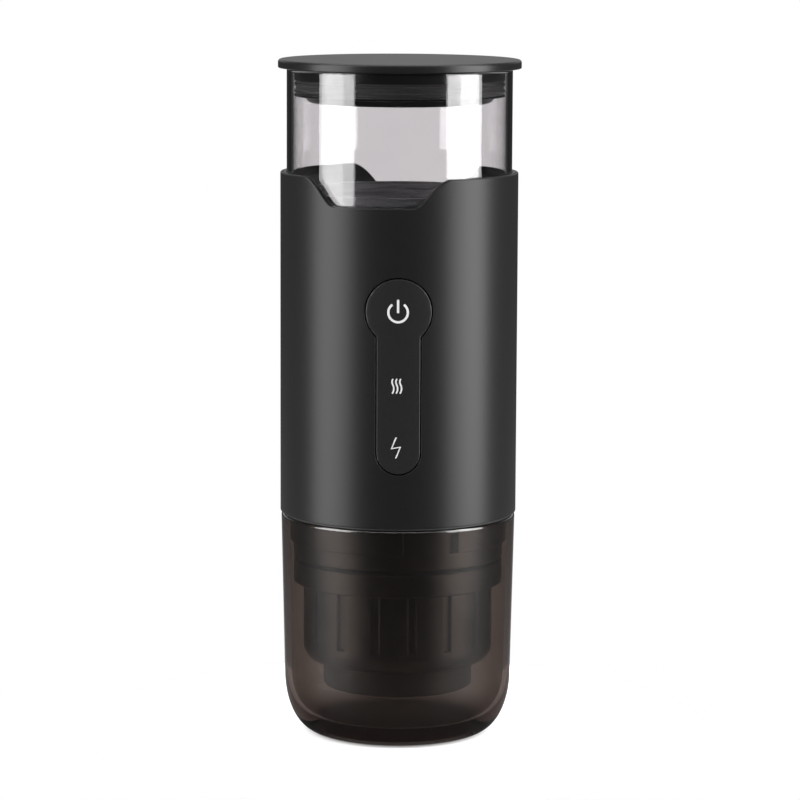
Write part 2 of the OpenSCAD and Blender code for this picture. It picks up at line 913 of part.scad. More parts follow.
module pump_tube() {
    color([0.78, 0.66, 0.36])
        translate(pump_at)
            difference() {
                union() {
                    rod(tube_r, z_pump, z_pump_top);
                    rod(barb_r, z_pump - barb_len, z_pump + cut);
                    rod(barb_r, z_pump_top - cut, z_pump_top + barb_len);
                }
                rod(tube_bore, z_spring, z_piston_top + piston_head);
                rod(port_r, z_pump - barb_len - cut, z_pump_top + barb_len + cut);
            }
}

module pump_piston() {
    color([0.66, 0.66, 0.68])
        translate(pump_at)
            difference() {
                rod(piston_r, z_piston, z_piston_top);
                rod(port_r, z_piston - cut, z_piston_top + cut);
            }
}

// Coil spring between the piston and the foot of the tube's bore
spring_sides = 6;
spring_rings = 8;
spring_rise = (spring_len - 2 * spring_wire - 2 * fit) / spring_turns;
echo(spring_gap = spring_rise - 2 * spring_wire);
module pump_spring() {
    steps = spring_turns * spring_rings;
    points = [
        for (i = [0 : steps])
            for (k = [0 : spring_sides - 1])
                let (
                    turn = 360 * i / spring_rings,
                    side = 360 * k / spring_sides,
                    reach = spring_r + spring_wire * cos(side)
                )
                [
                    reach * cos(turn), reach * sin(turn),
                    spring_wire + fit + spring_rise * i / spring_rings + spring_wire * sin(side)
                ]
    ];
    sides = [
        for (i = [0 : steps - 1])
            for (k = [0 : spring_sides - 1])
                let (a = i * spring_sides + k, b = i * spring_sides + (k + 1) % spring_sides)
                for (face = [[a, b, b + spring_sides], [a, b + spring_sides, a + spring_sides]]) face
    ];
    last = steps * spring_sides;
    ends = [
        for (k = [1 : spring_sides - 2])
            for (face = [[0, k + 1, k], [last, last + k, last + k + 1]]) face
    ];
    color([0.7, 0.7, 0.72])
        translate(pump_at + [0, 0, z_spring]) polyhedron(points, concat(sides, ends));
}

module hose(low, high) {
    color([0.85, 0.85, 0.82])
        translate(pump_at) ring(hose_r, hose_bore, low, high);
}

module outlet_hose() {
    hose(z_cells + fit, z_pump - fit);
}

module inlet_hose() {
    hose(z_pump_top + fit, z_shield - fit);
}

// Control board and key plate

module control_board() {
    color([0.05, 0.25, 0.14])
        translate([-board_w / 2, board_y, z_board]) cube([board_w, board_t, z_board_top - z_board]);
}

chips = [[-board_w / 4, 20, 8], [board_w / 5, 34, 6], [-board_w / 8, 44, 5]];
chip_t = 1.6;
module board_chips() {
    color([0.06, 0.06, 0.06])
        for (chip = chips)
            translate([chip[0] - chip[2] / 2, board_y + board_t, z_board + chip[1] - chip[2] / 2])
                cube([chip[2], chip_t, chip[2]]);
}

module tact_switch() {
    color([0.3, 0.3, 0.31])
        difference() {
            translate([-switch_w / 2, board_y - switch_t, key_z - switch_w / 2])
                cube([switch_w, switch_t, switch_w]);
            translate([0, 0, key_z])
                front_rod(plunger_r + 2 * fit, board_y - switch_t + plunger_well, switch_t);
        }
}

module switch_plunger() {
    tip = -key_back + plunger_gap;
    root = board_y - switch_t + plunger_in;
    color([0.85, 0.85, 0.85])
        translate([0, 0, key_z]) front_rod(plunger_r, root, root - tip);
}

module light_guides() {
    tip = -key_back + guide_gap;
    color([0.9, 0.9, 0.9])
        for (drop = [heat_icon_drop, charge_icon_drop])
            translate([0, 0, key_z - drop]) front_rod(guide_r, board_y, board_y - tip);
}

module key_plate() {
    color([0.09, 0.09, 0.095])
        difference() {
            union() {
                intersection() {
                    ring(key_face, key_back, key_low_z - cut, z_ledge);
                    keyhole(0);
                }
                for (side = [-1, 1])
                    translate([side * lug_x - lug_w / 2, pin_y, pin_z]) {
                        rotate([0, 90, 0]) cylinder(r = lug_r, h = lug_w);
                        translate([0, -key_back - pin_y - key_t / 4, -lug_r])
                            cube([lug_w, key_back + pin_y + key_t / 4, 2 * lug_r]);
                    }
            }
            translate([0, pin_y, pin_z])
                rotate([0, 90, 0])
                    cylinder(r = key_pin_r + fit, h = 2 * pin_half, center = true);
        }
}

module key_pin() {
    color([0.7, 0.7, 0.72])
        translate([0, pin_y, pin_z])
            rotate([0, 90, 0]) cylinder(r = key_pin_r, h = 2 * pin_half, center = true);
}

// Charging socket

module charge_board() {
    color([0.05, 0.25, 0.14])
        translate([-charge_w / 2, charge_y, socket_z - charge_low])
            cube([charge_w / 2 + charge_right, charge_t, charge_h]);
}

module usb_socket() {
    start = housing_bore - hood_deep;
    color([0.66, 0.66, 0.68])
        translate([0, start, socket_z]) {
            difference() {
                stadium(port_w, port_h, port_len);
                translate([0, cut, 0])
                    stadium(port_w - 2 * port_wall, port_h - 2 * port_wall, port_len);
            }
            translate([-tongue_w / 2, cut / 2, -tongue_t / 2]) cube([tongue_w, port_len - cut, tongue_t]);
        }
}

// Wires from the control board to the heating element and to the pump
module wire_loom() {
    back = board_y + board_t;
    wire_z = z_shield - wire_drop;
    color([0.6, 0.1, 0.08]) {
        for (side = [-1, 1])
            translate([side * terminal_at[0], terminal_at[1], wire_z]) {
                rod(wire_r, 0, wire_drop + z_ledge - z_shield - element_d - terminal_drop / 2);
                sphere(r = wire_r);
                front_rod(wire_r, 0, terminal_at[1] - back);
            }
        translate([0, -pump_off - pump_r, z_pump + pump_h / 2])
            front_rod(wire_r, 0, -pump_off - pump_r - back);
    }
}

// Tank

module heat_shield() {
    color([0.8, 0.78, 0.7])
        difference() {
            rod(shield_bore - fit, z_shield, z_shield_top);
            translate(pump_at) rod(barb_r + fit, z_shield - cut, z_shield_top + cut);
            for (side = [-1, 1])
                translate([side * terminal_at[0], terminal_at[1], 0])
                    rod(terminal_r + play, z_shield - cut, z_shield_top + cut);
        }
}

module heating_element() {
    mid = z_ledge - element_d / 2 - fit;
    color([0.55, 0.55, 0.56]) {
        rotate([0, 0, -90 + element_open / 2])
            rotate_extrude(angle = 360 - element_open)
                translate([element_orbit, mid]) circle(d = element_d);
        for (side = [-1, 1])
            translate([side * terminal_at[0], terminal_at[1], 0])
                rod(terminal_r, z_ledge - element_d - terminal_drop / 2, mid);
    }
}

module thermal_sensor() {
    color([0.9, 0.9, 0.88])
        translate([sensor_at[0], sensor_at[1], 0]) rod(sensor_r, z_ledge - sensor_h, z_ledge);
}

module boiler_pot() {
    color([0.12, 0.12, 0.12])
        difference() {
            union() {
                turned([
                    [0, z_ledge], [glass_r, z_ledge], [glass_r, z_seat], [pot_collar_r, z_seat],
                    [pot_collar_r, z_pot_rim], [pot_bore, z_pot_rim], [pot_bore, z_tank_floor],
                    [0, z_tank_floor]
                ]);
                translate(pump_at) rod(barb_r, z_shield - nipple_drop, z_ledge + pot_floor / 2);
            }
            translate(pump_at) rod(barb_bore, z_shield - nipple_drop - cut, z_tank_floor + cut);
            for (i = [1 : pot_groove_count])
                ring(
                    pot_bore + pot_groove, pot_bore - cut,
                    z_pot_rim - i * pot_groove_pitch - pot_groove, z_pot_rim - i * pot_groove_pitch
                );
        }
}

module tank_strainer() {
    lid = strainer_h / 3;
    color([0.72, 0.72, 0.73])
        translate(pump_at)
            difference() {
                turned([
                    [0, z_tank_floor], [strainer_r, z_tank_floor], [strainer_r, z_tank_floor + lid],
                    [strainer_r / 2, z_tank_floor + strainer_h], [0, z_tank_floor + strainer_h]
                ]);
                turned([
                    [0, z_tank_floor - cut], [strainer_r - lid, z_tank_floor - cut],
                    [strainer_r - lid, z_tank_floor + lid / 2],
                    [strainer_r / 2 - lid, z_tank_floor + strainer_h - lid],
                    [0, z_tank_floor + strainer_h - lid]
                ]);
                for (i = [0 : 7])
                    rotate([0, 0, i * 45])
                        translate([strainer_r / 3, 0, 0])
                            rod(strainer_hole_r, z_tank_floor, z_tank_floor + strainer_h + cut);
            }
}

module tank_gasket() {
    pitch = (collar_up - gasket_foot) / gasket_ribs;
    color([0.1, 0.1, 0.1])
        union() {
            ring(glass_r, pot_collar_r, z_seat, z_glass);
            ring(pot_collar_r + gasket_rib, pot_collar_r, z_seat, z_pot_rim);
            for (i = [1 : gasket_ribs])
                ring(
                    glass_bore - fit, pot_collar_r,
                    z_glass + i * pitch - gasket_rib, z_glass + i * pitch
                );
        }
}

module tank_glass() {
    color([0.82, 0.84, 0.85, 0.35]) ring(glass_r, glass_bore, z_glass, z_lid);
}

// Lid

seal_up = 3.6;
seal_low = 8;
seal_in = 1.7;
module lid_cap() {
    under_edge = lid_edge / 2;
    color([0.13, 0.13, 0.135])
        turned(concat(
            [[0, z_lid]],
            arc([lid_r - under_edge, z_lid + under_edge], under_edge, under_edge, -90, 0),
            arc([lid_r - lid_edge, z_lid + lid_t - lid_edge], lid_edge, lid_edge, 0, 90),
            [[0, z_lid + lid_t]]
        ));
}

module lid_plug() {
    side = lip_r - fit;
    groove = lip_r - seal_in;
    nose_r = lip_r - nose_step;
    bend = nose_step / 2;
    color([0.1, 0.1, 0.1])
        turned(concat(
            [
                [0, z_lid - plug_h - nose_h], [nose_r - bend / 2, z_lid - plug_h - nose_h],
                [nose_r, z_lid - plug_h - nose_h + bend / 2]
            ],
            arc([nose_r + bend, z_lid - plug_h - bend / 2], bend, bend / 2, 180, 90),
            [
                [side, z_lid - plug_h], [side, z_lid - seal_low], [groove, z_lid - seal_low],
                [groove, z_lid - seal_up], [side, z_lid - seal_up], [side, z_lid],
                [nose_r - plug_wall, z_lid], [nose_r - plug_wall, z_lid - plug_h - nose_h + plug_wall],
                [0, z_lid - plug_h - nose_h + plug_wall]
            ]
        ));
}

module lid_seal() {
    base = lip_r - seal_in / 3;
    lip_h = 0.8;
    color([0.2, 0.2, 0.2])
        union() {
            ring(base, lip_r - seal_in, z_lid - seal_low + fit, z_lid - seal_up - fit);
            for (low = [seal_low - lip_h, seal_up + 2 * lip_h])
                ring(lip_r, base - fit, z_lid - low, z_lid - low + lip_h);
        }
}

cup();
cup_seal();
foot_pads();
base_frame();
brew_head();
piercing_plate();
brew_gasket();
capsule_basket();
basket_ring();
outlet_plate();
capsule_holder();
spout_nozzle();
outer_sleeve();
inner_housing();
deck_screws();
cell_cradle();
battery_cells();
cell_clamp();
cell_tabs();
pump_stand();
pump_case();
pump_coil();
pump_end_plate();
pump_tube();
pump_piston();
pump_spring();
outlet_hose();
inlet_hose();
control_board();
board_chips();
tact_switch();
switch_plunger();
light_guides();
key_plate();
key_pin();
charge_board();
usb_socket();
wire_loom();
heat_shield();
heating_element();
thermal_sensor();
boiler_pot();
tank_strainer();
tank_gasket();
tank_glass();
lid_cap();
lid_plug();
lid_seal();
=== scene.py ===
"""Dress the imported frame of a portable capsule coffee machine.

The pieces that show are modelled again with round edges and fine detail, the others
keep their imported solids, and every one gets the finish of its real material. Sizes are
in millimetres until a piece is placed, because the frame itself is in metres.
"""

import json
import logging
import math
from collections.abc import Iterable, Sequence
from dataclasses import dataclass, field
from enum import Enum

import bmesh
import bpy
from bmesh.types import BMEdge, BMesh, BMFace, BMVert
from mathutils import Matrix, Vector

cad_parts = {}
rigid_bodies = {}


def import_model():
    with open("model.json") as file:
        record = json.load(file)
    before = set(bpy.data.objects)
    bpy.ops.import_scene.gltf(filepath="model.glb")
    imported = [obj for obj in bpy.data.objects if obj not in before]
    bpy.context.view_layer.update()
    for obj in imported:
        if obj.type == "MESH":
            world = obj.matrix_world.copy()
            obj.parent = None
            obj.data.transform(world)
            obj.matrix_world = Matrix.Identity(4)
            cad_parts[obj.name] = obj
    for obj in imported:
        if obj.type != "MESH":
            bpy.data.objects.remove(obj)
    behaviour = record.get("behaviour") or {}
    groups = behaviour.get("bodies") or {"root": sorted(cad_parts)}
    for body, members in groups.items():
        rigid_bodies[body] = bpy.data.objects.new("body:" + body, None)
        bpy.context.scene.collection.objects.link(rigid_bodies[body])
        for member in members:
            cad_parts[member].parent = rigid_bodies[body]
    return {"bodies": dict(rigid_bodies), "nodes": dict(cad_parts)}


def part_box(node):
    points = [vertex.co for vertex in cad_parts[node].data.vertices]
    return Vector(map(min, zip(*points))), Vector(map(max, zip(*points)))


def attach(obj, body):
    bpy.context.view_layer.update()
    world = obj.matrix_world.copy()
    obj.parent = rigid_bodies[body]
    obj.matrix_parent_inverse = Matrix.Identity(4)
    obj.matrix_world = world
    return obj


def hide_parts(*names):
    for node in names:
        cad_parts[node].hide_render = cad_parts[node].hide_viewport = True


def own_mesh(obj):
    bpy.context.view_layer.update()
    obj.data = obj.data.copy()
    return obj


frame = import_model()

LOG = logging.getLogger("coffee_machine")
MM = 0.001
Corner = tuple[float, float, float]
Point = tuple[float, float]
Palette = dict[str, bpy.types.Material]

# Steps of a full turn: of most pieces, of the widest clear and lit rims, one for each degree
TURN_STEPS = 192
FINE_STEPS = 256
DEGREE_STEPS = 360
# Steps of a rounded corner of an outline, a rounded edge, an elliptical corner and a cut arc
ROUND_STEPS = 5
EDGE_STEPS = 3
ELLIPSE_STEPS = 24
ARC_STEPS = 48
# Columns in degrees and rows in millimetres that a flat slab is cut into before it is rolled
COLUMN_TURN = 1.0
ROW_HEIGHT = 5.0
# Rounding of a broken and of a soft edge
BROKEN = 0.2
SOFT = 0.5
# Edges that bend more than this stay crisp
CRISP = math.radians(40)
# Points within MERGE are one point, and a face with its middle within NEAR of a wall is part of it
MERGE = 1e-4
NEAR = 0.3
WHITE = (1.0, 1.0, 1.0, 1.0)


class Body(Enum):
    """Moving bodies of the frame."""

    CUP = "cup"
    MACHINE = "machine"
    LID = "lid"
    HOLDER = "holder"
    KEY = "key"


class Pattern(Enum):
    """How a material's surface varies."""

    GRAIN = "fine grain of a mould or a blasted face"
    BRUSHED = "fine lines round the axis"
    WOUND = "turns of wire along the axis"
    TRACKS = "copper tracks under lacquer"
    SPECKS = "small light flecks"
    RIPPLE = "slow waves of a clear wall"


class Rounds(Enum):
    """What a rounding works on."""

    EDGES = "EDGES"
    CORNERS = "VERTICES"


class Axis(Enum):
    """Axes of the surroundings."""

    DEPTH = "Y"
    HEIGHT = "Z"


def linear(code: str) -> tuple[float, float, float, float]:
    """Turn an sRGB colour into linear light.

    Args:
        code: Six hex digits.

    Returns:
        Linear red, green and blue, and an alpha of one.
    """
    parts = [int(code[i : i + 2], 16) / 255 for i in (0, 2, 4)]
    light = [c / 12.92 if c <= 0.04045 else ((c + 0.055) / 1.055) ** 2.4 for c in parts]
    return (light[0], light[1], light[2], 1.0)


def add_node(
    tree: bpy.types.NodeTree,
    kind: str,
    inputs: dict[str | int, object] | None = None,
    **settings: object,
) -> bpy.types.Node:
    """Add a node with its settings, constants and links.

    Args:
        tree: The node tree that takes it.
        kind: Blender's name for the node.
        inputs: Constants or output sockets, by input name or number.
        **settings: Properties of the node.

    Returns:
        The new node.
    """
    node = tree.nodes.new(kind)
    for name, value in settings.items():
        setattr(node, name, value)
    for name, value in (inputs or {}).items():
        if isinstance(value, bpy.types.NodeSocket):
            tree.links.new(value, node.inputs[name])
        else:
            node.inputs[name].default_value = value
    return node


def empty_material(name: str) -> bpy.types.Material:
    """Make a material with no nodes yet.

    Args:
        name: Its name.

    Returns:
        The Blender material.
    """
    material = bpy.data.materials.new(name)
    material.use_nodes = True
    material.node_tree.nodes.clear()
    return material


def axis_distance(tree: bpy.types.NodeTree) -> bpy.types.NodeSocket:
    """Measure how far a point of the surface lies from the upright axis.

    Args:
        tree: The material's nodes.

    Returns:
        The distance in metres.
    """
    spot = add_node(tree, "ShaderNodeTexCoord").outputs["Object"]
    across = add_node(
        tree, "ShaderNodeVectorMath", {0: spot, 1: (1, 1, 0)}, operation="MULTIPLY"
    ).outputs["Vector"]
    return add_node(
        tree, "ShaderNodeVectorMath", {0: across}, operation="LENGTH"
    ).outputs["Value"]


@dataclass(frozen=True)
class Finish:
    """A real material and how its surface was made.

    Attributes:
        name: Common name of the material.
        dark: Darker colour of the surface, sRGB.
        light: Lighter colour of the surface, sRGB.
        rough: Lowest and highest roughness.
        pattern: How the surface varies.
        size: Size of the pattern in millimetres.
        relief: Depth of the pattern in millimetres.
        metallic: One for bare metal.
        ior: Index of refraction.
        clear: Share of light that passes through.
        coat: Weight of a clear lacquer.
        coat_rough: Roughness of that lacquer.
        polish: Height in millimetres from which the lacquer is full and polished, or none.
        polish_fade: Height in millimetres over which that change runs.
        polish_rough: Roughness of the polished lacquer.
        polish_ior: Index of refraction at the polished rim.
        mirror: Strength of the reflection straight on, where one is the full one.
        edge: Colour of the painted shade that a clear wall takes at a glancing view, or none.
        edge_from: Radius in millimetres from which it takes that colour.
        edge_glance: Glancing share at which that colour starts and is full.
        deep: Colour that white light takes in one millimetre of a tinted wall, or none.
    """

    name: str
    dark: str
    light: str
    rough: tuple[float, float]
    pattern: Pattern
    size: float
    relief: float
    metallic: float = 0.0
    ior: float = 1.5
    clear: float = 0.0
    coat: float = 0.0
    coat_rough: float = 0.08
    polish: float = 0.0
    polish_fade: float = 0.4
    polish_rough: float = 0.06
    polish_ior: float = 1.6
    mirror: float = 1.0
    edge: str = ""
    edge_from: float = 0.0
    edge_glance: tuple[float, float] = (0.69, 0.72)
    deep: str = ""

    def variation(self, tree: bpy.types.NodeTree) -> bpy.types.NodeSocket:
        """Draw the pattern.

        Args:
            tree: The material's nodes.

        Returns:
            A value between zero and one over the surface.
        """
        spot = add_node(tree, "ShaderNodeTexCoord").outputs["Object"]
        fine = 1 / (self.size * MM)
        if self.pattern is Pattern.WOUND:
            # A wave texture repeats at 20 / tau times its scale
            return add_node(
                tree,
                "ShaderNodeTexWave",
                {"Vector": spot, "Scale": math.tau / 20 * fine, "Distortion": 0.4},
                bands_direction="Z",
            ).outputs["Fac"]
        if self.pattern is Pattern.TRACKS:
            return add_node(
                tree,
                "ShaderNodeTexBrick",
                {"Vector": spot, "Scale": fine, "Mortar Size": 0.12},
                offset=0.37,
                squash=0.6,
            ).outputs["Fac"]
        # Brushed lines are drawn out level, the way the brush or the die ran round the axis
        stretch = (0.03, 0.03, 1.0) if self.pattern is Pattern.BRUSHED else (1.0, 1.0, 1.0)
        stretched = add_node(
            tree, "ShaderNodeMapping", {"Vector": spot, "Scale": stretch}
        ).outputs["Vector"]
        detail = 1.0 if self.pattern is Pattern.RIPPLE else 4.0
        noise = add_node(
            tree,
            "ShaderNodeTexNoise",
            {"Vector": stretched, "Scale": fine, "Detail": detail, "Roughness": 0.55},
        ).outputs["Fac"]
        if self.pattern is not Pattern.SPECKS:
            return noise
        # Only the peaks of the noise show as flecks
        return add_node(
            tree,
            "ShaderNodeMapRange",
            {"Value": noise, "From Min": 0.58, "From Max": 0.66},
        ).outputs["Result"]

    def polish_rim(self, tree: bpy.types.NodeTree, shader: bpy.types.Node) -> None:
        """Polish the lacquer above a height.

        Args:
            tree: The material's nodes.
            shader: Its main shader.
        """
        spot = add_node(tree, "ShaderNodeTexCoord").outputs["Object"]
        height = add_node(tree, "ShaderNodeSeparateXYZ", {"Vector": spot}).outputs["Z"]
        span = {
            "Value": height,
            "From Min": self.polish * MM,
            "From Max": (self.polish + self.polish_fade) * MM,
        }
        for socket, start, end in (
            ("Coat Roughness", self.coat_rough, self.polish_rough),
            ("Coat Weight", self.coat, 1.0),
            ("IOR", self.ior, self.polish_ior),
        ):
            change = add_node(
                tree, "ShaderNodeMapRange", {**span, "To Min": start, "To Max": end}
            )
            tree.links.new(change.outputs["Result"], shader.inputs[socket])

    def painted_dark_edge(
        self, tree: bpy.types.NodeTree, colour: bpy.types.NodeSocket
    ) -> bpy.types.NodeSocket:
        """Paint shade on the outer face of a clear wall where it is seen along the wall.

        Args:
            tree: The material's nodes.
            colour: Colour of the wall seen straight on.

        Returns:
            Colour with the painted dark edges.
        """
        outside = add_node(
            tree,
            "ShaderNodeMath",
            {0: axis_distance(tree), 1: self.edge_from * MM},
            operation="GREATER_THAN",
        ).outputs["Value"]
        glance = add_node(tree, "ShaderNodeLayerWeight", {"Blend": 0.5}).outputs["Facing"]
        start, full = self.edge_glance
        wall = add_node(
            tree,
            "ShaderNodeMapRange",
            {"Value": glance, "From Min": start, "From Max": full, "To Max": outside},
        ).outputs["Result"]
        return add_node(
            tree,
            "ShaderNodeMix",
            {0: wall, 6: colour, 7: linear(self.edge)},
            data_type="RGBA",
        ).outputs[2]

    def dye(self, tree: bpy.types.NodeTree) -> bpy.types.NodeSocket:
        """Tint the inside of a clear wall, more where the light passes more of it.

        Args:
            tree: The material's nodes.

        Returns:
            The volume of the wall.
        """
        loss = [-math.log(c) / MM for c in linear(self.deep)[:3]]
        most = max(loss)
        kept = [1 - c / most for c in loss]
        return add_node(
            tree, "ShaderNodeVolumeAbsorption", {"Color": (*kept, 1), "Density": most}
        ).outputs["Volume"]

    def build(self) -> bpy.types.Material:
        """Make the material.

        Returns:
            The Blender material.
        """
        material = empty_material(self.name)
        tree = material.node_tree
        value = self.variation(tree)
        tint = add_node(tree, "ShaderNodeValToRGB", {"Fac": value})
        ends = ((0.3, self.dark), (0.7, self.light))
        for element, (position, code) in zip(tint.color_ramp.elements, ends):
            element.position = position
            element.color = linear(code)
        colour = tint.outputs["Color"]
        # Painted shade: a clear wall's colour darkens where the wall is seen along its length
        if self.edge:
            colour = self.painted_dark_edge(tree, colour)
        gloss = add_node(
            tree,
            "ShaderNodeMapRange",
            {"Value": value, "To Min": self.rough[0], "To Max": self.rough[1]},
        )
        relief = add_node(
            tree,
            "ShaderNodeBump",
            {"Strength": 1.0, "Distance": self.relief * MM, "Height": value},
        )
        shader = add_node(
            tree,
            "ShaderNodeBsdfPrincipled",
            {
                "Base Color": colour,
                "Roughness": gloss.outputs["Result"],
                "Normal": relief.outputs["Normal"],
                "Metallic": self.metallic,
                "IOR": self.ior,
                "Transmission Weight": self.clear,
                "Coat Weight": self.coat,
                "Coat Roughness": self.coat_rough,
                "Specular Tint": (self.mirror, self.mirror, self.mirror, 1),
            },
        )
        if self.polish:
            self.polish_rim(tree, shader)
        output = add_node(
            tree, "ShaderNodeOutputMaterial", {"Surface": shader.outputs["BSDF"]}
        )
        if self.deep:
            tree.links.new(self.dye(tree), output.inputs["Volume"])
        return material


# Finishes by the record's material slots, and two more, for the brew group and for the tank's
# gasket, whose paler grey is painted light. The comment gives what each shows the eye. Real
# moulded and blasted grain is near 0.1 mm, and brushed and drawn lines are finer still: both are
# drawn as coarse as they need to show.
FINISHES: dict[str, Finish] = {
    # Smoke-tinted copolyester: brown and clear, with the soft gloss of a washed cup. Its low
    # index shows the brew group in it straight, and its lacquer gives the gloss instead.
    "smoked_cup": Finish(
        "smoked_copolyester", "948A83", "988E87", (0.0, 0.01), Pattern.RIPPLE, 14, 0.002,
        ior=1.05, clear=0.995, coat=0.25, coat_rough=0.42, mirror=0.5, deep="F8F7F7",
        polish=69.6,
    ),
    # Blasted and anodised aluminium: an even black that spreads the lamps softly. Its dyed oxide
    # skin hides the metal, so it shines like a dull lacquer.
    "black_sleeve": Finish(
        "anodised_aluminium_black", "131314", "171718", (0.33, 0.39), Pattern.GRAIN, 0.4, 0.003,
        ior=1.31,
    ),
    # Moulded ABS with a light spark-eroded grain.
    "black_moulding": Finish(
        "moulded_abs_black", "121212", "1A1A1A", (0.28, 0.34), Pattern.GRAIN, 0.6, 0.002,
        ior=1.65,
    ),
    # Moulded ABS of the brew group, with a strong mirror that carries through the tinted cup.
    "brew_black": Finish(
        "polished_abs_black", "161616", "1E1E1E", (0.28, 0.34), Pattern.GRAIN, 0.6, 0.002,
        ior=1.85,
    ),
    # Moulded polyamide, a cooler and duller dark grey.
    "grey_moulding": Finish(
        "moulded_polyamide_grey", "2A2A2B", "333334", (0.38, 0.5), Pattern.GRAIN, 0.7, 0.008,
    ),
    # Satin acrylic-topped ABS, a touch smoother than the sleeve round it.
    "key_black": Finish(
        "satin_abs_black", "1B1B1C", "202021", (0.3, 0.36), Pattern.GRAIN, 0.5, 0.002, ior=1.31,
    ),
    # Satin moulded ABS: dark, with broad highlights on its rim.
    "lid_black": Finish(
        "satin_abs_lid", "131314", "181819", (0.27, 0.33), Pattern.GRAIN, 0.5, 0.003, ior=1.31,
    ),
    # Cured silicone rubber: dull and dusty.
    "black_silicone": Finish(
        "silicone_rubber_black", "303031", "3A3A3B", (0.5, 0.62), Pattern.GRAIN, 1.2, 0.006,
    ),
    # Cured silicone rubber round the foot of the glass, painted paler: painted light for the lamp
    # light that the glass tube keeps from it.
    "gasket_silicone_painted_light": Finish(
        "silicone_rubber_painted_light", "5A595C", "6A696C", (0.45, 0.55), Pattern.GRAIN, 1.2, 0.006,
    ),
    # Red silicone of an O-ring.
    "red_silicone": Finish(
        "silicone_rubber_red", "7A1E15", "8C2A1E", (0.45, 0.55), Pattern.GRAIN, 1.0, 0.004,
    ),
    # Milky food-grade silicone hose.
    "clear_hose": Finish(
        "silicone_hose", "D6D6CE", "E2E2DC", (0.3, 0.4), Pattern.GRAIN, 2.0, 0.004, ior=1.41,
    ),
    # Drawn borosilicate glass, faintly grey, with painted shade on its edges where it is seen
    # along the wall.
    "tank_glass": Finish(
        "borosilicate_glass", "E9E6E8", "EBE9EA", (0.0, 0.006), Pattern.RIPPLE, 22, 0.002,
        ior=1.55, clear=1.0, edge="101010", edge_from=34.5,
    ),
    # Grey non-stick coating over a turned pot, with streaks that run round it.
    "boiler_coat": Finish(
        "non_stick_coating", "5E5C60", "9C9A9E", (0.26, 0.38), Pattern.BRUSHED, 1.2, 0.01,
    ),
    # Brushed stainless steel: pale, with long soft highlights.
    "stainless": Finish(
        "brushed_stainless_steel", "A9A9AB", "BDBDBE", (0.22, 0.34), Pattern.BRUSHED, 0.3, 0.002,
        metallic=1.0,
    ),
    # Drawn brass tube: warm yellow with fine draw lines.
    "brass_tube": Finish(
        "drawn_brass", "B08D45", "C6A458", (0.2, 0.32), Pattern.BRUSHED, 0.4, 0.002,
        metallic=1.0,
    ),
    # Enamelled copper wire, wound in neat turns under clear lacquer.
    "copper_coil": Finish(
        "enamelled_copper_wire", "7A3A1C", "C07042", (0.25, 0.35), Pattern.WOUND, 0.5, 0.15,
        metallic=1.0, coat=0.6,
    ),
    # Shrunk PVC sleeve of a battery cell: an even, slightly glossy green.
    "cell_wrap": Finish(
        "shrunk_pvc_green", "2B6B4A", "34805A", (0.22, 0.3), Pattern.GRAIN, 3.0, 0.01,
    ),
    # Spot-welded nickel strip: a warm pale metal.
    "nickel_tab": Finish(
        "nickel_strip", "A8A69E", "BAB8B0", (0.25, 0.38), Pattern.BRUSHED, 0.4, 0.002,
        metallic=1.0,
    ),
    # Glass-fibre board with tracks under green lacquer.
    "board_green": Finish(
        "lacquered_circuit_board", "0C3B22", "1B5E38", (0.25, 0.35), Pattern.TRACKS, 2.4, 0.02,
        coat=0.3,
    ),
    # Moulded epoxy of chips: flat black.
    "chip_black": Finish(
        "moulded_epoxy", "141414", "1E1E1E", (0.5, 0.6), Pattern.GRAIN, 0.3, 0.006,
    ),
    # Clear acrylic rod, frosted at its end.
    "clear_guide": Finish(
        "clear_acrylic", "E6E8EA", "EDEFF0", (0.05, 0.12), Pattern.RIPPLE, 4.0, 0.004,
        ior=1.49, clear=0.9,
    ),
    # White moulded acetal: waxy and off-white.
    "white_moulding": Finish(
        "moulded_acetal_white", "D2D2CE", "DCDCD8", (0.35, 0.45), Pattern.GRAIN, 0.6, 0.004,
    ),
    # Red PVC insulation: a dull, even red.
    "wire_red": Finish(
        "pvc_insulation_red", "8E1B14", "A3241B", (0.35, 0.45), Pattern.GRAIN, 0.8, 0.004,
    ),
    # Pressed mica sheet with glittering flecks.
    "shield_mica": Finish(
        "pressed_mica", "B9AF98", "D8CFB8", (0.35, 0.5), Pattern.SPECKS, 1.0, 0.01,
    ),
}

# Screen-printed white ink on the key plate: a matt, slightly broken white.
INK = Finish("screen_printed_ink", "BDBDBD", "CFCFCF", (0.5, 0.6), Pattern.GRAIN, 0.4, 0.002)


def round_off(
    bm: BMesh,
    geom: Sequence[BMVert | BMEdge],
    offset: float,
    segments: int = EDGE_STEPS,
    what: Rounds = Rounds.EDGES,
) -> None:
    """Round edges, or the corners of an outline.

    Args:
        bm: The mesh that holds them.
        geom: The edges or corners.
        offset: How far the rounding reaches.
        segments: Its steps.
        what: Whether edges or corners are meant.
    """
    bmesh.ops.bevel(
        bm, geom=geom, offset=offset, segments=segments, profile=0.5, affect=what.value,
        material=-1,
    )


def crisp_edges(bm: BMesh) -> list[BMEdge]:
    """Find the edges between two faces that bend sharply.

    Args:
        bm: The mesh.

    Returns:
        Those edges.
    """
    return [e for e in bm.edges if e.is_manifold and e.calc_face_angle() > CRISP]


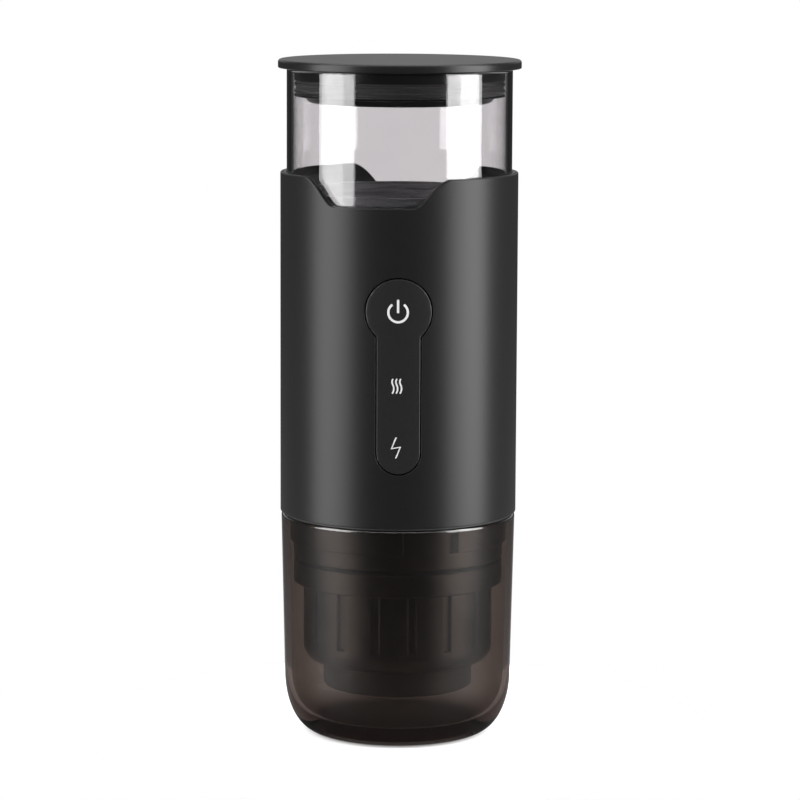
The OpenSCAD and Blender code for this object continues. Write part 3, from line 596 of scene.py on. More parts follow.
def turned(corners: Sequence[Corner], steps: int = TURN_STEPS) -> BMesh:
    """Turn an outline round the axis.

    Args:
        corners: Radius, height and rounding of each corner of a closed outline.
        steps: Steps of the full turn.

    Returns:
        The closed shape.
    """
    bm = bmesh.new()
    verts = [bm.verts.new((radius, 0, height)) for radius, height, _ in corners]
    bm.faces.new(verts)
    for vert, (_, _, rounding) in zip(verts, corners):
        if rounding:
            round_off(bm, [vert], rounding, ROUND_STEPS, Rounds.CORNERS)
    bmesh.ops.delete(bm, geom=bm.faces[:], context="FACES_ONLY")
    axis = [e for e in bm.edges if all(abs(v.co.x) < MERGE for v in e.verts)]
    bmesh.ops.delete(bm, geom=axis, context="EDGES")
    bmesh.ops.spin(
        bm, geom=bm.verts[:] + bm.edges[:], cent=(0, 0, 0), axis=(0, 0, 1),
        dvec=(0, 0, 0), angle=math.tau, steps=steps, use_merge=True,
    )
    bmesh.ops.remove_doubles(bm, verts=bm.verts, dist=MERGE)
    bmesh.ops.recalc_face_normals(bm, faces=bm.faces)
    return bm


def ellipse(centre: Point, width: float, height: float, start: float, end: float) -> list[Corner]:
    """Give the corners of an elliptical arc.

    Args:
        centre: Radius and height of its centre.
        width: Its half width.
        height: Its half height.
        start: First angle in degrees.
        end: Last angle in degrees.

    Returns:
        Corners with no rounding.
    """
    step = (end - start) / ELLIPSE_STEPS
    angles = [math.radians(start + step * i) for i in range(ELLIPSE_STEPS + 1)]
    return [
        (centre[0] + width * math.cos(a), centre[1] + height * math.sin(a), 0.0)
        for a in angles
    ]


def arc_edges(bm: BMesh, start: Point, centre: Point, angle: float) -> tuple[BMVert, BMVert]:
    """Draw an arc in the front plane.

    Args:
        bm: The mesh that takes it.
        start: First point, across and up.
        centre: Its centre, across and up.
        angle: Angle that it sweeps, in radians, counter-clockwise from the front.

    Returns:
        The first and the last vertex.
    """
    first = bm.verts.new((start[0], 0, start[1]))
    swept = bmesh.ops.spin(
        bm, geom=[first], cent=(centre[0], 0, centre[1]), axis=(0, -1, 0),
        dvec=(0, 0, 0), angle=angle, steps=ARC_STEPS,
    )
    last = [v for v in swept["geom_last"] if isinstance(v, BMVert)][0]
    return first, last


def flat_slab(bm: BMesh, wall: float, steps: Sequence[Point]) -> None:
    """Fill the outlines in the front plane and give them a thickness and a soft front edge.

    Args:
        bm: Mesh with the outlines' edges, in the plane y = 0.
        wall: Thickness, towards +Y.
        steps: Width and rise of each step of the front edge, from the outside inwards.
    """
    if not bm.faces:
        bmesh.ops.triangle_fill(bm, edges=bm.edges[:], use_beauty=True, normal=(0, -1, 0))
    bmesh.ops.reverse_faces(bm, faces=[f for f in bm.faces if f.normal.y > 0])
    rise = sum(step[1] for step in steps)
    grown = bmesh.ops.extrude_face_region(bm, geom=bm.faces[:], use_keep_orig=True)
    back = [v for v in grown["geom"] if isinstance(v, BMVert)]
    bmesh.ops.translate(bm, vec=(0, wall - rise, 0), verts=back)
    bmesh.ops.recalc_face_normals(bm, faces=bm.faces)
    front = [f for f in bm.faces if f.normal.y < -0.9]
    for width, height in steps:
        bmesh.ops.inset_region(
            bm, faces=front, thickness=width, depth=height, use_boundary=True,
            use_even_offset=True,
        )
    bmesh.ops.translate(bm, vec=(0, rise, 0), verts=bm.verts)


def roll(bm: BMesh, radius: float, low: float, high: float, trim: bool = False) -> None:
    """Cut a flat slab in columns and rows and roll it round the axis.

    Args:
        bm: The flat slab, with its front in the plane y = 0.
        radius: Radius of its front.
        low: First angle in degrees, from the front towards +X.
        high: Last angle in degrees.
        trim: Whether the slab is cut off at both angles and joined there.
    """
    count = round((high - low) / COLUMN_TURN)
    for i in range(count + 1):
        bmesh.ops.bisect_plane(
            bm, geom=bm.verts[:] + bm.edges[:] + bm.faces[:], dist=MERGE / 10,
            plane_co=(radius * math.radians(low + COLUMN_TURN * i), 0, 0), plane_no=(1, 0, 0),
            clear_inner=trim and i == 0, clear_outer=trim and i == count,
        )
    foot, top = (end(v.co.z for v in bm.verts) for end in (min, max))
    for i in range(1, math.ceil((top - foot) / ROW_HEIGHT)):
        bmesh.ops.bisect_plane(
            bm, geom=bm.verts[:] + bm.edges[:] + bm.faces[:], dist=MERGE / 10,
            plane_co=(0, 0, foot + ROW_HEIGHT * i), plane_no=(0, 0, 1),
        )
    for vert in bm.verts:
        angle = vert.co.x / radius
        reach = radius - vert.co.y
        vert.co = (reach * math.sin(angle), -reach * math.cos(angle), vert.co.z)
    bmesh.ops.remove_doubles(bm, verts=bm.verts, dist=MERGE)


def unroll(verts: Iterable[BMVert], radius: float) -> None:
    """Stretch points that were drawn straight on, so that rolling puts them back.

    Args:
        verts: The points.
        radius: Radius that they are rolled to.
    """
    for vert in verts:
        vert.co.x = radius * math.asin(vert.co.x / radius)


def from_middle(angle: float, pitch: float) -> float:
    """Give how far an angle lies from the nearest multiple of a pitch, with its sign."""
    return (angle + pitch / 2) % pitch - pitch / 2


def place(
    bm: BMesh,
    name: str,
    body: Body,
    finish: bpy.types.Material,
    stands_for: Sequence[str] = (),
) -> bpy.types.Object:
    """Turn a shape into a piece that rides on a body.

    Args:
        bm: The shape in millimetres; it is freed.
        name: Name of the piece.
        body: Body that carries it.
        finish: Its material.
        stands_for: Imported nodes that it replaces.

    Returns:
        The new object.
    """
    bmesh.ops.scale(bm, vec=(MM, MM, MM), verts=bm.verts)
    for face in bm.faces:
        face.smooth = True
    for edge in bm.edges:
        edge.smooth = len(edge.link_faces) == 2 and edge.calc_face_angle() < CRISP
    mesh = bpy.data.meshes.new(name)
    bm.to_mesh(mesh)
    bm.free()
    mesh.materials.append(finish)
    piece = bpy.data.objects.new(name, mesh)
    bpy.context.scene.collection.objects.link(piece)
    even = piece.modifiers.new("even_shading", "WEIGHTED_NORMAL")
    even.keep_sharp = True
    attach(piece, body.value)
    if stands_for:
        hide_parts(*stands_for)
    LOG.info("%s: %d faces on %s", name, len(mesh.polygons), body.value)
    return piece


@dataclass
class Cup:
    """The smoke-tinted cup that the machine stands in, and its feet."""

    rim_r: float = 37.2
    low_r: float = 36.1
    bore: float = 35.0
    rim_z: float = 70.8
    rim_round: float = 1.05
    corner_w: float = 10.0
    corner_h: float = 18.6
    wall: float = 2.2
    floor: float = 6.0
    # Flat ring that the cup stands on, above the table by the feet's height
    ring_z: float = 0.3
    ring_w: float = 4.0
    ring_round: float = 0.25
    hollow: float = 0.6
    pad_r: float = 1.4
    pad_taper: float = 0.1
    pad_sides: int = 32
    pad_count: int = 4

    def outline(self) -> list[Corner]:
        """Draw the cup's outline, from the hollow of its foot round to its floor.

        Returns:
            The corners.
        """
        centre = (self.low_r - self.corner_w, self.corner_h)
        inner = centre[0] - self.ring_w
        outside = ellipse(centre, self.corner_w, self.corner_h - self.ring_z, -90, 0)
        inside = ellipse(centre, self.corner_w - self.wall, self.corner_h - self.floor, 0, -90)
        return [
            (0, self.ring_z + self.hollow, 0),
            (inner, self.ring_z + self.hollow, self.ring_round),
            (inner, self.ring_z, self.ring_round),
            *outside,
            (self.rim_r, self.rim_z, self.rim_round),
            (self.bore, self.rim_z, self.rim_round),
            *inside,
            (0, self.floor, 0),
        ]

    def feet(self) -> BMesh:
        """Build the part of the silicone feet that stands out.

        Returns:
            The feet in their places.
        """
        bm = bmesh.new()
        orbit = self.low_r - self.corner_w - self.ring_w / 2
        for i in range(self.pad_count):
            angle = math.tau * i / self.pad_count
            spot = (orbit * math.cos(angle), orbit * math.sin(angle), self.ring_z / 2)
            bmesh.ops.create_cone(
                bm, cap_ends=True, segments=self.pad_sides, radius1=self.pad_r - self.pad_taper,
                radius2=self.pad_r, depth=self.ring_z, matrix=Matrix.Translation(spot),
            )
        return bm

    def build(self, palette: Palette) -> None:
        """Build and dress the cup.

        Args:
            palette: Materials by their keys.
        """
        place(
            turned(self.outline()), "drinking_cup", Body.CUP,
            palette["smoked_cup"], ["cup"],
        )
        place(
            self.feet(), "silicone_feet", Body.CUP,
            palette["black_silicone"], ["foot_pads"],
        )


@dataclass
class BrewGroup:
    """Neck, capsule holder and spout that hang in the cup."""

    # Deck and neck
    deck_r: float = 36.45
    deck_top: float = 75.3
    base_z: float = 71.3
    neck_r: float = 33.2
    neck_z: float = 57.0
    boss_r: float = 28.25
    seal_in: float = 35.1
    seal_out: float = 36.4
    seal_deep: float = 1.0
    # Raised bands of the neck, with a slot beside each
    band_r: float = 34.4
    band_root: float = 0.2
    band_h: float = 9.0
    band_gap: float = 30.0
    band_turn: float = 18.0
    band_count: int = 3
    band_steps: int = 48
    slot_turn: float = 4.0
    slot_deep: float = 2.4
    slot_draft: float = 0.05
    edge_round: float = 0.35
    # Capsule holder, outside and then inside
    collar_z: float = 56.0
    shoulder_z: float = 48.7
    grip_r: float = 30.1
    heel_r: float = 26.5
    heel_z: float = 28.5
    foot_z: float = 23.4
    grip_wall: float = 2.4
    grip_bore: float = 27.7
    web_low: float = 46.1
    web_top: float = 48.5
    chute_r: float = 20.0
    chute_bore: float = 17.6
    seat_r: float = 21.7
    seat_z: float = 51.55
    thread_bore: float = 28.6
    # Grooves of the grip
    groove_count: int = 16
    groove_columns: int = 4
    pitch_columns: int = 18
    groove_deep: float = 1.2
    groove_draft: float = 0.3
    groove_low: float = 30.1
    groove_turn: float = 8.7
    # Spout ring
    nozzle_r: float = 23.7
    nozzle_wall: float = 1.6
    nozzle_z: float = 15.0
    nozzle_top: float = 25.75
    nozzle_fit: float = 0.05
    # Spout in its middle, and the cone that carries it
    spout_bore: float = 4.0
    spout_r: float = 5.6
    spout_free: float = 0.7
    cone_rise: float = 2.0
    # Roundings of the bores, of the spout and of the ring's foot
    bore_round: float = 0.3
    spout_round: float = 0.4
    foot_round: float = 0.8

    def neck(self) -> BMesh:
        """Build the deck with the neck under it, and a slot beside every band.

        Returns:
            The closed shape.
        """
        low, seal_z = self.base_z - self.band_h, self.base_z + self.seal_deep
        bm = turned([
            (self.boss_r, self.neck_z, self.bore_round),
            (self.neck_r, self.neck_z, SOFT),
            (self.neck_r, low, 0),
            (self.neck_r, self.base_z, 0),
            (self.seal_in, self.base_z, 0),
            (self.seal_in, seal_z, 0),
            (self.seal_out, seal_z, 0),
            (self.deck_r, seal_z, 0),
            (self.deck_r, self.deck_top, BROKEN),
            (self.boss_r, self.deck_top, BROKEN),
        ], steps=DEGREE_STEPS)
        slots = []
        for face in bm.faces:
            middle = face.calc_center_median()
            angle = math.degrees(math.atan2(middle.x, -middle.y))
            off = from_middle(angle - self.band_turn, 360 / self.band_count)
            on_neck = abs(middle.xy.length - self.neck_r) < NEAR and low < middle.z < self.base_z
            if on_neck and 0 < self.band_gap / 2 - off < self.slot_turn:
                slots.append(face)
        bmesh.ops.inset_region(
            bm, faces=slots, thickness=self.slot_draft, depth=-self.slot_deep
        )
        return bm

    def band(self, index: int) -> BMesh:
        """Build one raised band of the neck.

        Args:
            index: Which band, from the first gap counter-clockwise.

        Returns:
            The band as a closed bar.
        """
        bm = bmesh.new()
        low, high = self.base_z - self.band_h, self.base_z
        inner, outer = self.neck_r - self.band_root, self.band_r
        corners = [(inner, low), (outer, low), (outer, high), (inner, high)]
        face = bm.faces.new([bm.verts.new((r, 0, z)) for r, z in corners])
        pitch = 360 / self.band_count
        start = self.band_turn - 90 + self.band_gap / 2 + index * pitch
        bmesh.ops.rotate(
            bm, verts=bm.verts, cent=(0, 0, 0),
            matrix=Matrix.Rotation(math.radians(start), 3, "Z"),
        )
        bmesh.ops.spin(
            bm, geom=[face], cent=(0, 0, 0), axis=(0, 0, 1), dvec=(0, 0, 0),
            angle=math.radians(pitch - self.band_gap), steps=self.band_steps,
        )
        bmesh.ops.recalc_face_normals(bm, faces=bm.faces)
        round_off(bm, crisp_edges(bm), self.edge_round)
        return bm

    def groove_faces(self, bm: BMesh) -> list[BMFace]:
        """Find the faces of the grip that its grooves sink in.

        Args:
            bm: The turned holder.

        Returns:
            Those faces.
        """
        pitch = math.tau / self.groove_count
        half = pitch / 2 * self.groove_columns / self.pitch_columns + MERGE
        grooves = []
        for face in bm.faces:
            middle = face.calc_center_median()
            on_grip = abs(middle.xy.length - self.grip_r) < NEAR
            angle = math.atan2(middle.y, middle.x) + math.radians(90 - self.groove_turn)
            in_groove = abs(from_middle(angle, pitch)) < half
            if on_grip and in_groove and self.groove_low < middle.z < self.shoulder_z:
                grooves.append(face)
        return grooves

    def holder(self) -> BMesh:
        """Build the capsule holder with its grooved grip.

        Returns:
            The closed shape.
        """
        heel = ellipse(
            (self.heel_r, self.heel_z), self.grip_r - self.heel_r, self.heel_z - self.foot_z,
            0, -90,
        )
        socket_r = self.nozzle_r + self.nozzle_fit
        bm = turned([
            (self.thread_bore, self.collar_z, BROKEN),
            (self.neck_r, self.collar_z, SOFT),
            (self.neck_r, self.shoulder_z, SOFT),
            (self.grip_r, self.shoulder_z, 0),
            (self.grip_r, self.groove_low, 0),
            *heel,
            (socket_r, self.foot_z, BROKEN),
            (socket_r, self.foot_z + self.grip_wall, 0),
            (self.grip_bore, self.heel_z + self.grip_wall, 0),
            (self.grip_bore, self.web_low, 0),
            (self.chute_r, self.web_low, 0),
            (self.chute_r, self.foot_z, BROKEN),
            (self.chute_bore, self.foot_z, BROKEN),
            (self.chute_bore, self.web_top, 0),
            (self.seat_r, self.web_top, 0),
            (self.seat_r, self.seat_z, 0),
            (self.thread_bore, self.seat_z, 0),
        ], steps=self.groove_count * self.pitch_columns)
        bmesh.ops.rotate(
            bm, verts=bm.verts, cent=(0, 0, 0),
            matrix=Matrix.Rotation(math.radians(self.groove_turn - 90), 3, "Z"),
        )
        grooves = self.groove_faces(bm)
        rims = [e for e in bm.edges if sum(f in grooves for f in e.link_faces) == 1]
        bmesh.ops.inset_region(
            bm, faces=grooves, thickness=self.groove_draft, depth=-self.groove_deep,
            use_boundary=True, use_even_offset=True,
        )
        round_off(bm, rims, self.edge_round)
        return bm

    def nozzle(self) -> BMesh:
        """Build the spout ring under the holder.

        Returns:
            The closed shape.
        """
        inside, foot = self.nozzle_r - self.nozzle_wall, self.nozzle_z
        cone = foot + self.spout_free
        return turned([
            (self.spout_bore, foot, self.spout_round),
            (self.spout_r, foot, self.spout_round),
            (self.spout_r, cone, 0),
            (inside, cone + self.cone_rise, SOFT),
            (inside, foot, SOFT),
            (self.nozzle_r, foot, self.foot_round),
            (self.nozzle_r, self.nozzle_top, 0),
            (inside, self.nozzle_top, 0),
            (inside, cone + self.cone_rise + self.nozzle_wall, self.spout_round),
            (self.spout_bore, cone + self.nozzle_wall, self.bore_round),
        ])

    def build(self, palette: Palette) -> None:
        """Build and dress the brew group.

        Args:
            palette: Materials by their keys.
        """
        black = palette["brew_black"]
        place(self.neck(), "neck_deck", Body.MACHINE, black, ["base_frame"])
        for i in range(self.band_count):
            place(self.band(i), f"neck_band_{i + 1}", Body.MACHINE, black)
        place(
            self.holder(), "capsule_holder_grip", Body.HOLDER, black,
            ["capsule_holder"],
        )
        place(
            self.nozzle(), "spout_ring", Body.HOLDER,
            palette["grey_moulding"], ["spout_nozzle"],
        )


@dataclass
class Keyhole:
    """Outline of the key plate and of its window."""

    disc_r: float = 10.25
    disc_z: float = 138.9
    strip_r: float = 6.8
    low_z: float = 88.55

    def draw(self, bm: BMesh, margin: float) -> list[BMVert]:
        """Draw the outline in the front plane.

        Args:
            bm: The mesh that takes it.
            margin: How much it is grown.

        Returns:
            Its vertices.
        """
        before = set(bm.verts)
        disc, strip = self.disc_r + margin, self.strip_r + margin
        meet = math.asin(strip / disc)
        low = self.low_z + self.strip_r
        start = (strip, self.disc_z - disc * math.cos(meet))
        top = arc_edges(bm, start, (0, self.disc_z), math.tau - 2 * meet)
        foot = arc_edges(bm, (-strip, low), (0, low), math.pi)
        bm.edges.new((top[1], foot[0]))
        bm.edges.new((foot[1], top[0]))
        return [v for v in bm.verts if v not in before]


@dataclass
class Sleeve:
    """The black metal sleeve with its notched rim, key window and charging port."""

    radius: float = 37.5
    wall: float = 1.0
    base_z: float = 71.3
    rim_z: float = 179.3
    # Two notches of the rim, by angles from the front and from their own middle
    notch_depth: float = 8.6
    notch_turn: float = -13.0
    notch_half: float = 28.25
    notch_low: float = 8.7
    notch_high: float = 13.3
    notch_steep: float = 0.075
    # How far the slope would rise past the rim, which cuts it off crisply
    notch_over: float = 0.35
    slope_steps: int = 24
    port_z: float = 89.3
    port_w: float = 11.6
    port_h: float = 5.6
    key_gap: float = 0.35
    # Rounding of the rim outside and inside, of the openings and of the lower edge
    rim_round: float = 0.45
    rim_back_round: float = 0.3
    opening_round: float = 0.16
    foot_round: float = 0.35
    # Angles of the flat sheet's ends, and how far it is drawn past them before the trim
    sheet_low: float = -90.0
    sheet_high: float = 270.0
    sheet_spare: float = 6.0

    def slope(self, share: float, steep: float) -> float:
        """Give half of the notch's S-shaped slope: a half at 0, nothing at 1."""
        return (1 - share) ** 2 * (0.5 * (1 + 2 * share) - steep * share)

    def rim_height(self, angle: float) -> float:
        """Give the height of the rim.

        Args:
            angle: Angle from the front towards +X, in degrees.

        Returns:
            Height in millimetres.
        """
        past = abs(from_middle(angle - self.notch_turn, 180)) - self.notch_half
        if past < -self.notch_low:
            share = 0.0
        elif past < 0:
            share = self.slope(-past / self.notch_low, self.notch_steep * self.notch_low)
        elif past < self.notch_high:
            share = 1 - self.slope(past / self.notch_high, self.notch_steep * self.notch_high)
        else:
            share = 1.0
        rise = (self.notch_depth + self.notch_over) * share
        return min(self.rim_z, self.rim_z - self.notch_depth + rise)

    def rim_angles(self, low: float, high: float) -> list[float]:
        """Give the angles at which the rim's outline needs a point.

        Args:
            low: First angle of the sheet in degrees.
            high: Last angle of the sheet.

        Returns:
            The angles in order.
        """
        start = self.notch_half - self.notch_low
        step = (self.notch_low + self.notch_high) / self.slope_steps
        slopes = [start + step * i for i in range(self.slope_steps + 1)]
        angles = {low, high}
        for middle in (self.notch_turn, self.notch_turn + 180):
            angles.update(middle + side * a for a in slopes for side in (-1, 1))
        return sorted(angles)

    def port(self, bm: BMesh) -> list[BMVert]:
        """Draw the charging port in the front plane.

        Args:
            bm: The mesh that takes it.

        Returns:
            Its vertices.
        """
        before = set(bm.verts)
        half, reach = self.port_h / 2, (self.port_w - self.port_h) / 2
        right = arc_edges(bm, (reach, self.port_z - half), (reach, self.port_z), math.pi)
        left = arc_edges(bm, (-reach, self.port_z + half), (-reach, self.port_z), math.pi)
        bm.edges.new((right[1], left[0]))
        bm.edges.new((left[1], right[0]))
        return [v for v in bm.verts if v not in before]

    def shell(self) -> BMesh:
        """Build the sleeve from a flat sheet that is cut, edged and rolled.

        Returns:
            The closed shape.
        """
        bm = bmesh.new()
        low, high = self.sheet_low - self.sheet_spare, self.sheet_high + self.sheet_spare
        per_degree = self.radius * math.pi / 180
        rim = [(a, self.rim_height(a)) for a in self.rim_angles(low, high)]
        foot = [(high, self.base_z), (low, self.base_z)]
        loop = [bm.verts.new((a * per_degree, 0, z)) for a, z in rim + foot]
        for a, b in zip(loop, loop[1:] + loop[:1]):
            bm.edges.new((a, b))
        unroll(Keyhole().draw(bm, self.key_gap), self.radius)
        port = self.port(bm)
        unroll(port, self.radius)
        bmesh.ops.translate(bm, verts=port, vec=(self.radius * math.pi, 0, 0))
        flat_slab(bm, self.wall, [])
        self.soften(bm)
        roll(bm, self.radius, self.sheet_low, self.sheet_high, trim=True)
        return bm

    def soften(self, bm: BMesh) -> None:
        """Round the edges of the flat sheet, the rim most and on both sides.

        Args:
            bm: The sheet before it is rolled.
        """
        floor = self.rim_z - self.notch_depth - NEAR
        low, top = self.base_z - 1, self.rim_z + 1
        for offset, deep, start, end in (
            (self.rim_round, 0.0, floor, top),
            (self.rim_back_round, self.wall, floor, top),
            (self.opening_round, 0.0, self.base_z + 1, floor),
            (self.foot_round, 0.0, low, self.base_z + 1),
        ):
            edges = [
                e for e in crisp_edges(bm)
                if all(abs(v.co.y - deep) < MERGE and start < v.co.z < end for v in e.verts)
            ]
            round_off(bm, edges, offset)

    def build(self, palette: Palette) -> None:
        """Build and dress the sleeve.

        Args:
            palette: Materials by their keys.
        """
        place(
            self.shell(), "sleeve_shell", Body.MACHINE,
            palette["black_sleeve"], ["outer_sleeve"],
        )


@dataclass
class KeyPlate:
    """The keyhole-shaped key with its printed signs."""

    face_r: float = 37.4
    plate_t: float = 1.2
    # Half the angle over which the plate and its signs are cut in columns, to roll smoothly
    plate_turn: float = 18.0
    sign_turn: float = 8.0
    # Width and rise of each step of its soft front edge
    plate_edge: tuple[Point, ...] = ((0.1, 0.2), (0.2, 0.1))
    # Power sign: a broken ring and a bar
    power_at: Point = (-0.2, 138.9)
    power_r: float = 3.0
    power_gap: float = 36.0
    stroke: float = 0.72
    bar_low: float = -0.2
    bar_h: float = 4.15
    # Heat sign: foot of a wave from the sign's middle, and radius and bend of its arcs
    heat_at: Point = (-0.5, 116.1)
    heat_pitch: float = 1.2
    heat_foot: Point = (-0.24, -2.3)
    heat_arcs: tuple[Point, ...] = ((2.65, 35.8), (2.41, 27.1), (2.41, -27.1), (1.21, -44.8))
    # Charge sign: the points of its stroke, and how far the pen leans at each
    bolt_at: Point = (-0.7, 96.9)
    bolt_line: tuple[Point, ...] = ((0.05, 3.3), (-1.35, -0.2), (1.35, 0.25), (-0.05, -3.3))
    bolt_lean: tuple[float, ...] = (0.0, 0.8, 0.8, 0.0)
    fine: float = 0.48
    # Rounding of the strokes' ends, by the fine stroke, and the bend that marks an end
    end_round: float = 0.45
    end_steps: int = 4
    end_bend: float = 50.0
    pen_step: float = 8.0
    ink_t: float = 0.03

    def plate(self) -> BMesh:
        """Build the plate from a flat keyhole that is edged and rolled.

        Returns:
            The closed shape.
        """
        bm = bmesh.new()
        unroll(Keyhole().draw(bm, 0.0), self.face_r)
        flat_slab(bm, self.plate_t, self.plate_edge)
        roll(bm, self.face_r, -self.plate_turn, self.plate_turn)
        return bm

    def sweep(self, bm: BMesh, edge: BMEdge, centre: Point, angle: float) -> BMEdge:
        """Sweep a pen stroke round a centre.

        Args:
            bm: The mesh that takes it.
            edge: The pen's edge at the start.
            centre: Centre of the arc, across and up.
            angle: Angle in radians, counter-clockwise from the front.

        Returns:
            The pen's edge at the end.
        """
        steps = max(4, round(abs(angle) / math.radians(self.pen_step)))
        swept = bmesh.ops.spin(
            bm, geom=[edge, *edge.verts], cent=(centre[0], 0, centre[1]), axis=(0, -1, 0),
            dvec=(0, 0, 0), angle=angle, steps=steps,
        )
        return [e for e in swept["geom_last"] if isinstance(e, BMEdge)][0]

    def pen(self, bm: BMesh, a: Point, b: Point) -> BMEdge:
        """Set the pen's edge between two points of the front plane."""
        return bm.edges.new([bm.verts.new((p[0], 0, p[1])) for p in (a, b)])

    def power_sign(self) -> BMesh:
        """Draw the broken ring and the bar of the power sign.

        Returns:
            The flat sign.
        """
        bm = bmesh.new()
        x, z = self.power_at
        gap, half = math.radians(self.power_gap), self.stroke / 2
        ends = [
            (x - math.sin(gap) * r, z + math.cos(gap) * r)
            for r in (self.power_r - half, self.power_r + half)
        ]
        self.sweep(bm, self.pen(bm, *ends), self.power_at, math.tau - 2 * gap)
        foot = z + self.bar_low
        bar = self.pen(bm, (x - half, foot), (x + half, foot))
        grown = bmesh.ops.extrude_edge_only(bm, edges=[bar])
        top = [v for v in grown["geom"] if isinstance(v, BMVert)]
        bmesh.ops.translate(bm, verts=top, vec=(0, 0, self.bar_h))
        return bm

    def heat_sign(self) -> BMesh:
        """Draw three rising waves.

        Returns:
            The flat sign.
        """
        bm = bmesh.new()
        for i in (-1, 0, 1):
            x = self.heat_at[0] + i * self.heat_pitch + self.heat_foot[0]
            z = self.heat_at[1] + self.heat_foot[1]
            lean = math.radians(self.heat_arcs[0][1])
            side = Vector((math.cos(lean), -math.sin(lean))) * self.fine / 2
            edge = self.pen(bm, (x - side.x, z - side.y), (x + side.x, z + side.y))
            for radius, bend in self.heat_arcs:
                way = math.copysign(radius, bend)
                centre = (x - way * math.cos(lean), z + way * math.sin(lean))
                edge = self.sweep(bm, edge, centre, math.radians(bend))
                lean -= math.radians(bend)
                x, z = centre[0] + way * math.cos(lean), centre[1] - way * math.sin(lean)
        return bm

    def bolt_sign(self) -> BMesh:
        """Draw the lightning stroke.

        Returns:
            The flat sign.
        """
        bm = bmesh.new()
        half = self.fine / 2
        edges = []
        for (x, z), lean in zip(self.bolt_line, self.bolt_lean):
            x, z = self.bolt_at[0] + x, self.bolt_at[1] + z
            rise = half * lean
            edges.append(self.pen(bm, (x - half, z - rise), (x + half, z + rise)))
        for a, b in zip(edges, edges[1:]):
            bm.faces.new((a.verts[0], a.verts[1], b.verts[1], b.verts[0]))
        return bm

    def round_ends(self, bm: BMesh) -> None:
        """Round the ends of the pen strokes.

        Args:
            bm: The flat sign.
        """
        ends = [
            v for v in bm.verts
            if len(v.link_edges) == 2 and v.calc_edge_angle() > math.radians(self.end_bend)
        ]
        round_off(bm, ends, self.fine * self.end_round, self.end_steps, Rounds.CORNERS)

    def build(self, palette: Palette) -> None:
        """Build and dress the key plate and its signs.

        Args:
            palette: Materials by their keys.
        """
        place(
            self.plate(), "key_plate_face", Body.KEY, palette["key_black"],
            ["key_plate"],
        )
        ink = INK.build()
        signs = {
            "sign_power": self.power_sign(),
            "sign_heat": self.heat_sign(),
            "sign_charge": self.bolt_sign(),
        }
        for name, bm in signs.items():
            bmesh.ops.remove_doubles(bm, verts=bm.verts, dist=MERGE)
            self.round_ends(bm)
            bm.normal_update()
            flat_slab(bm, 2 * self.ink_t, [])
            roll(bm, self.face_r + self.ink_t, -self.sign_turn, self.sign_turn)
            place(bm, name, Body.KEY, ink)


@dataclass
class Tank:
    """The clear glass tube of the water tank."""

    outer: float = 35.5
    inner: float = 33.5
    low_z: float = 163.0
    high_z: float = 211.8
    foot_round: float = 0.5
    rim_round: float = 0.95

    def build(self, palette: Palette) -> None:
        """Build and dress the glass.

        Args:
            palette: Materials by their keys.
        """
        tube = turned([
            (self.inner, self.low_z, self.foot_round),
            (self.outer, self.low_z, self.foot_round),
            (self.outer, self.high_z, self.rim_round),
            (self.inner, self.high_z, self.rim_round),
        ], steps=FINE_STEPS)
        place(
            tube, "glass_tube", Body.MACHINE, palette["tank_glass"],
            ["tank_glass"],
        )


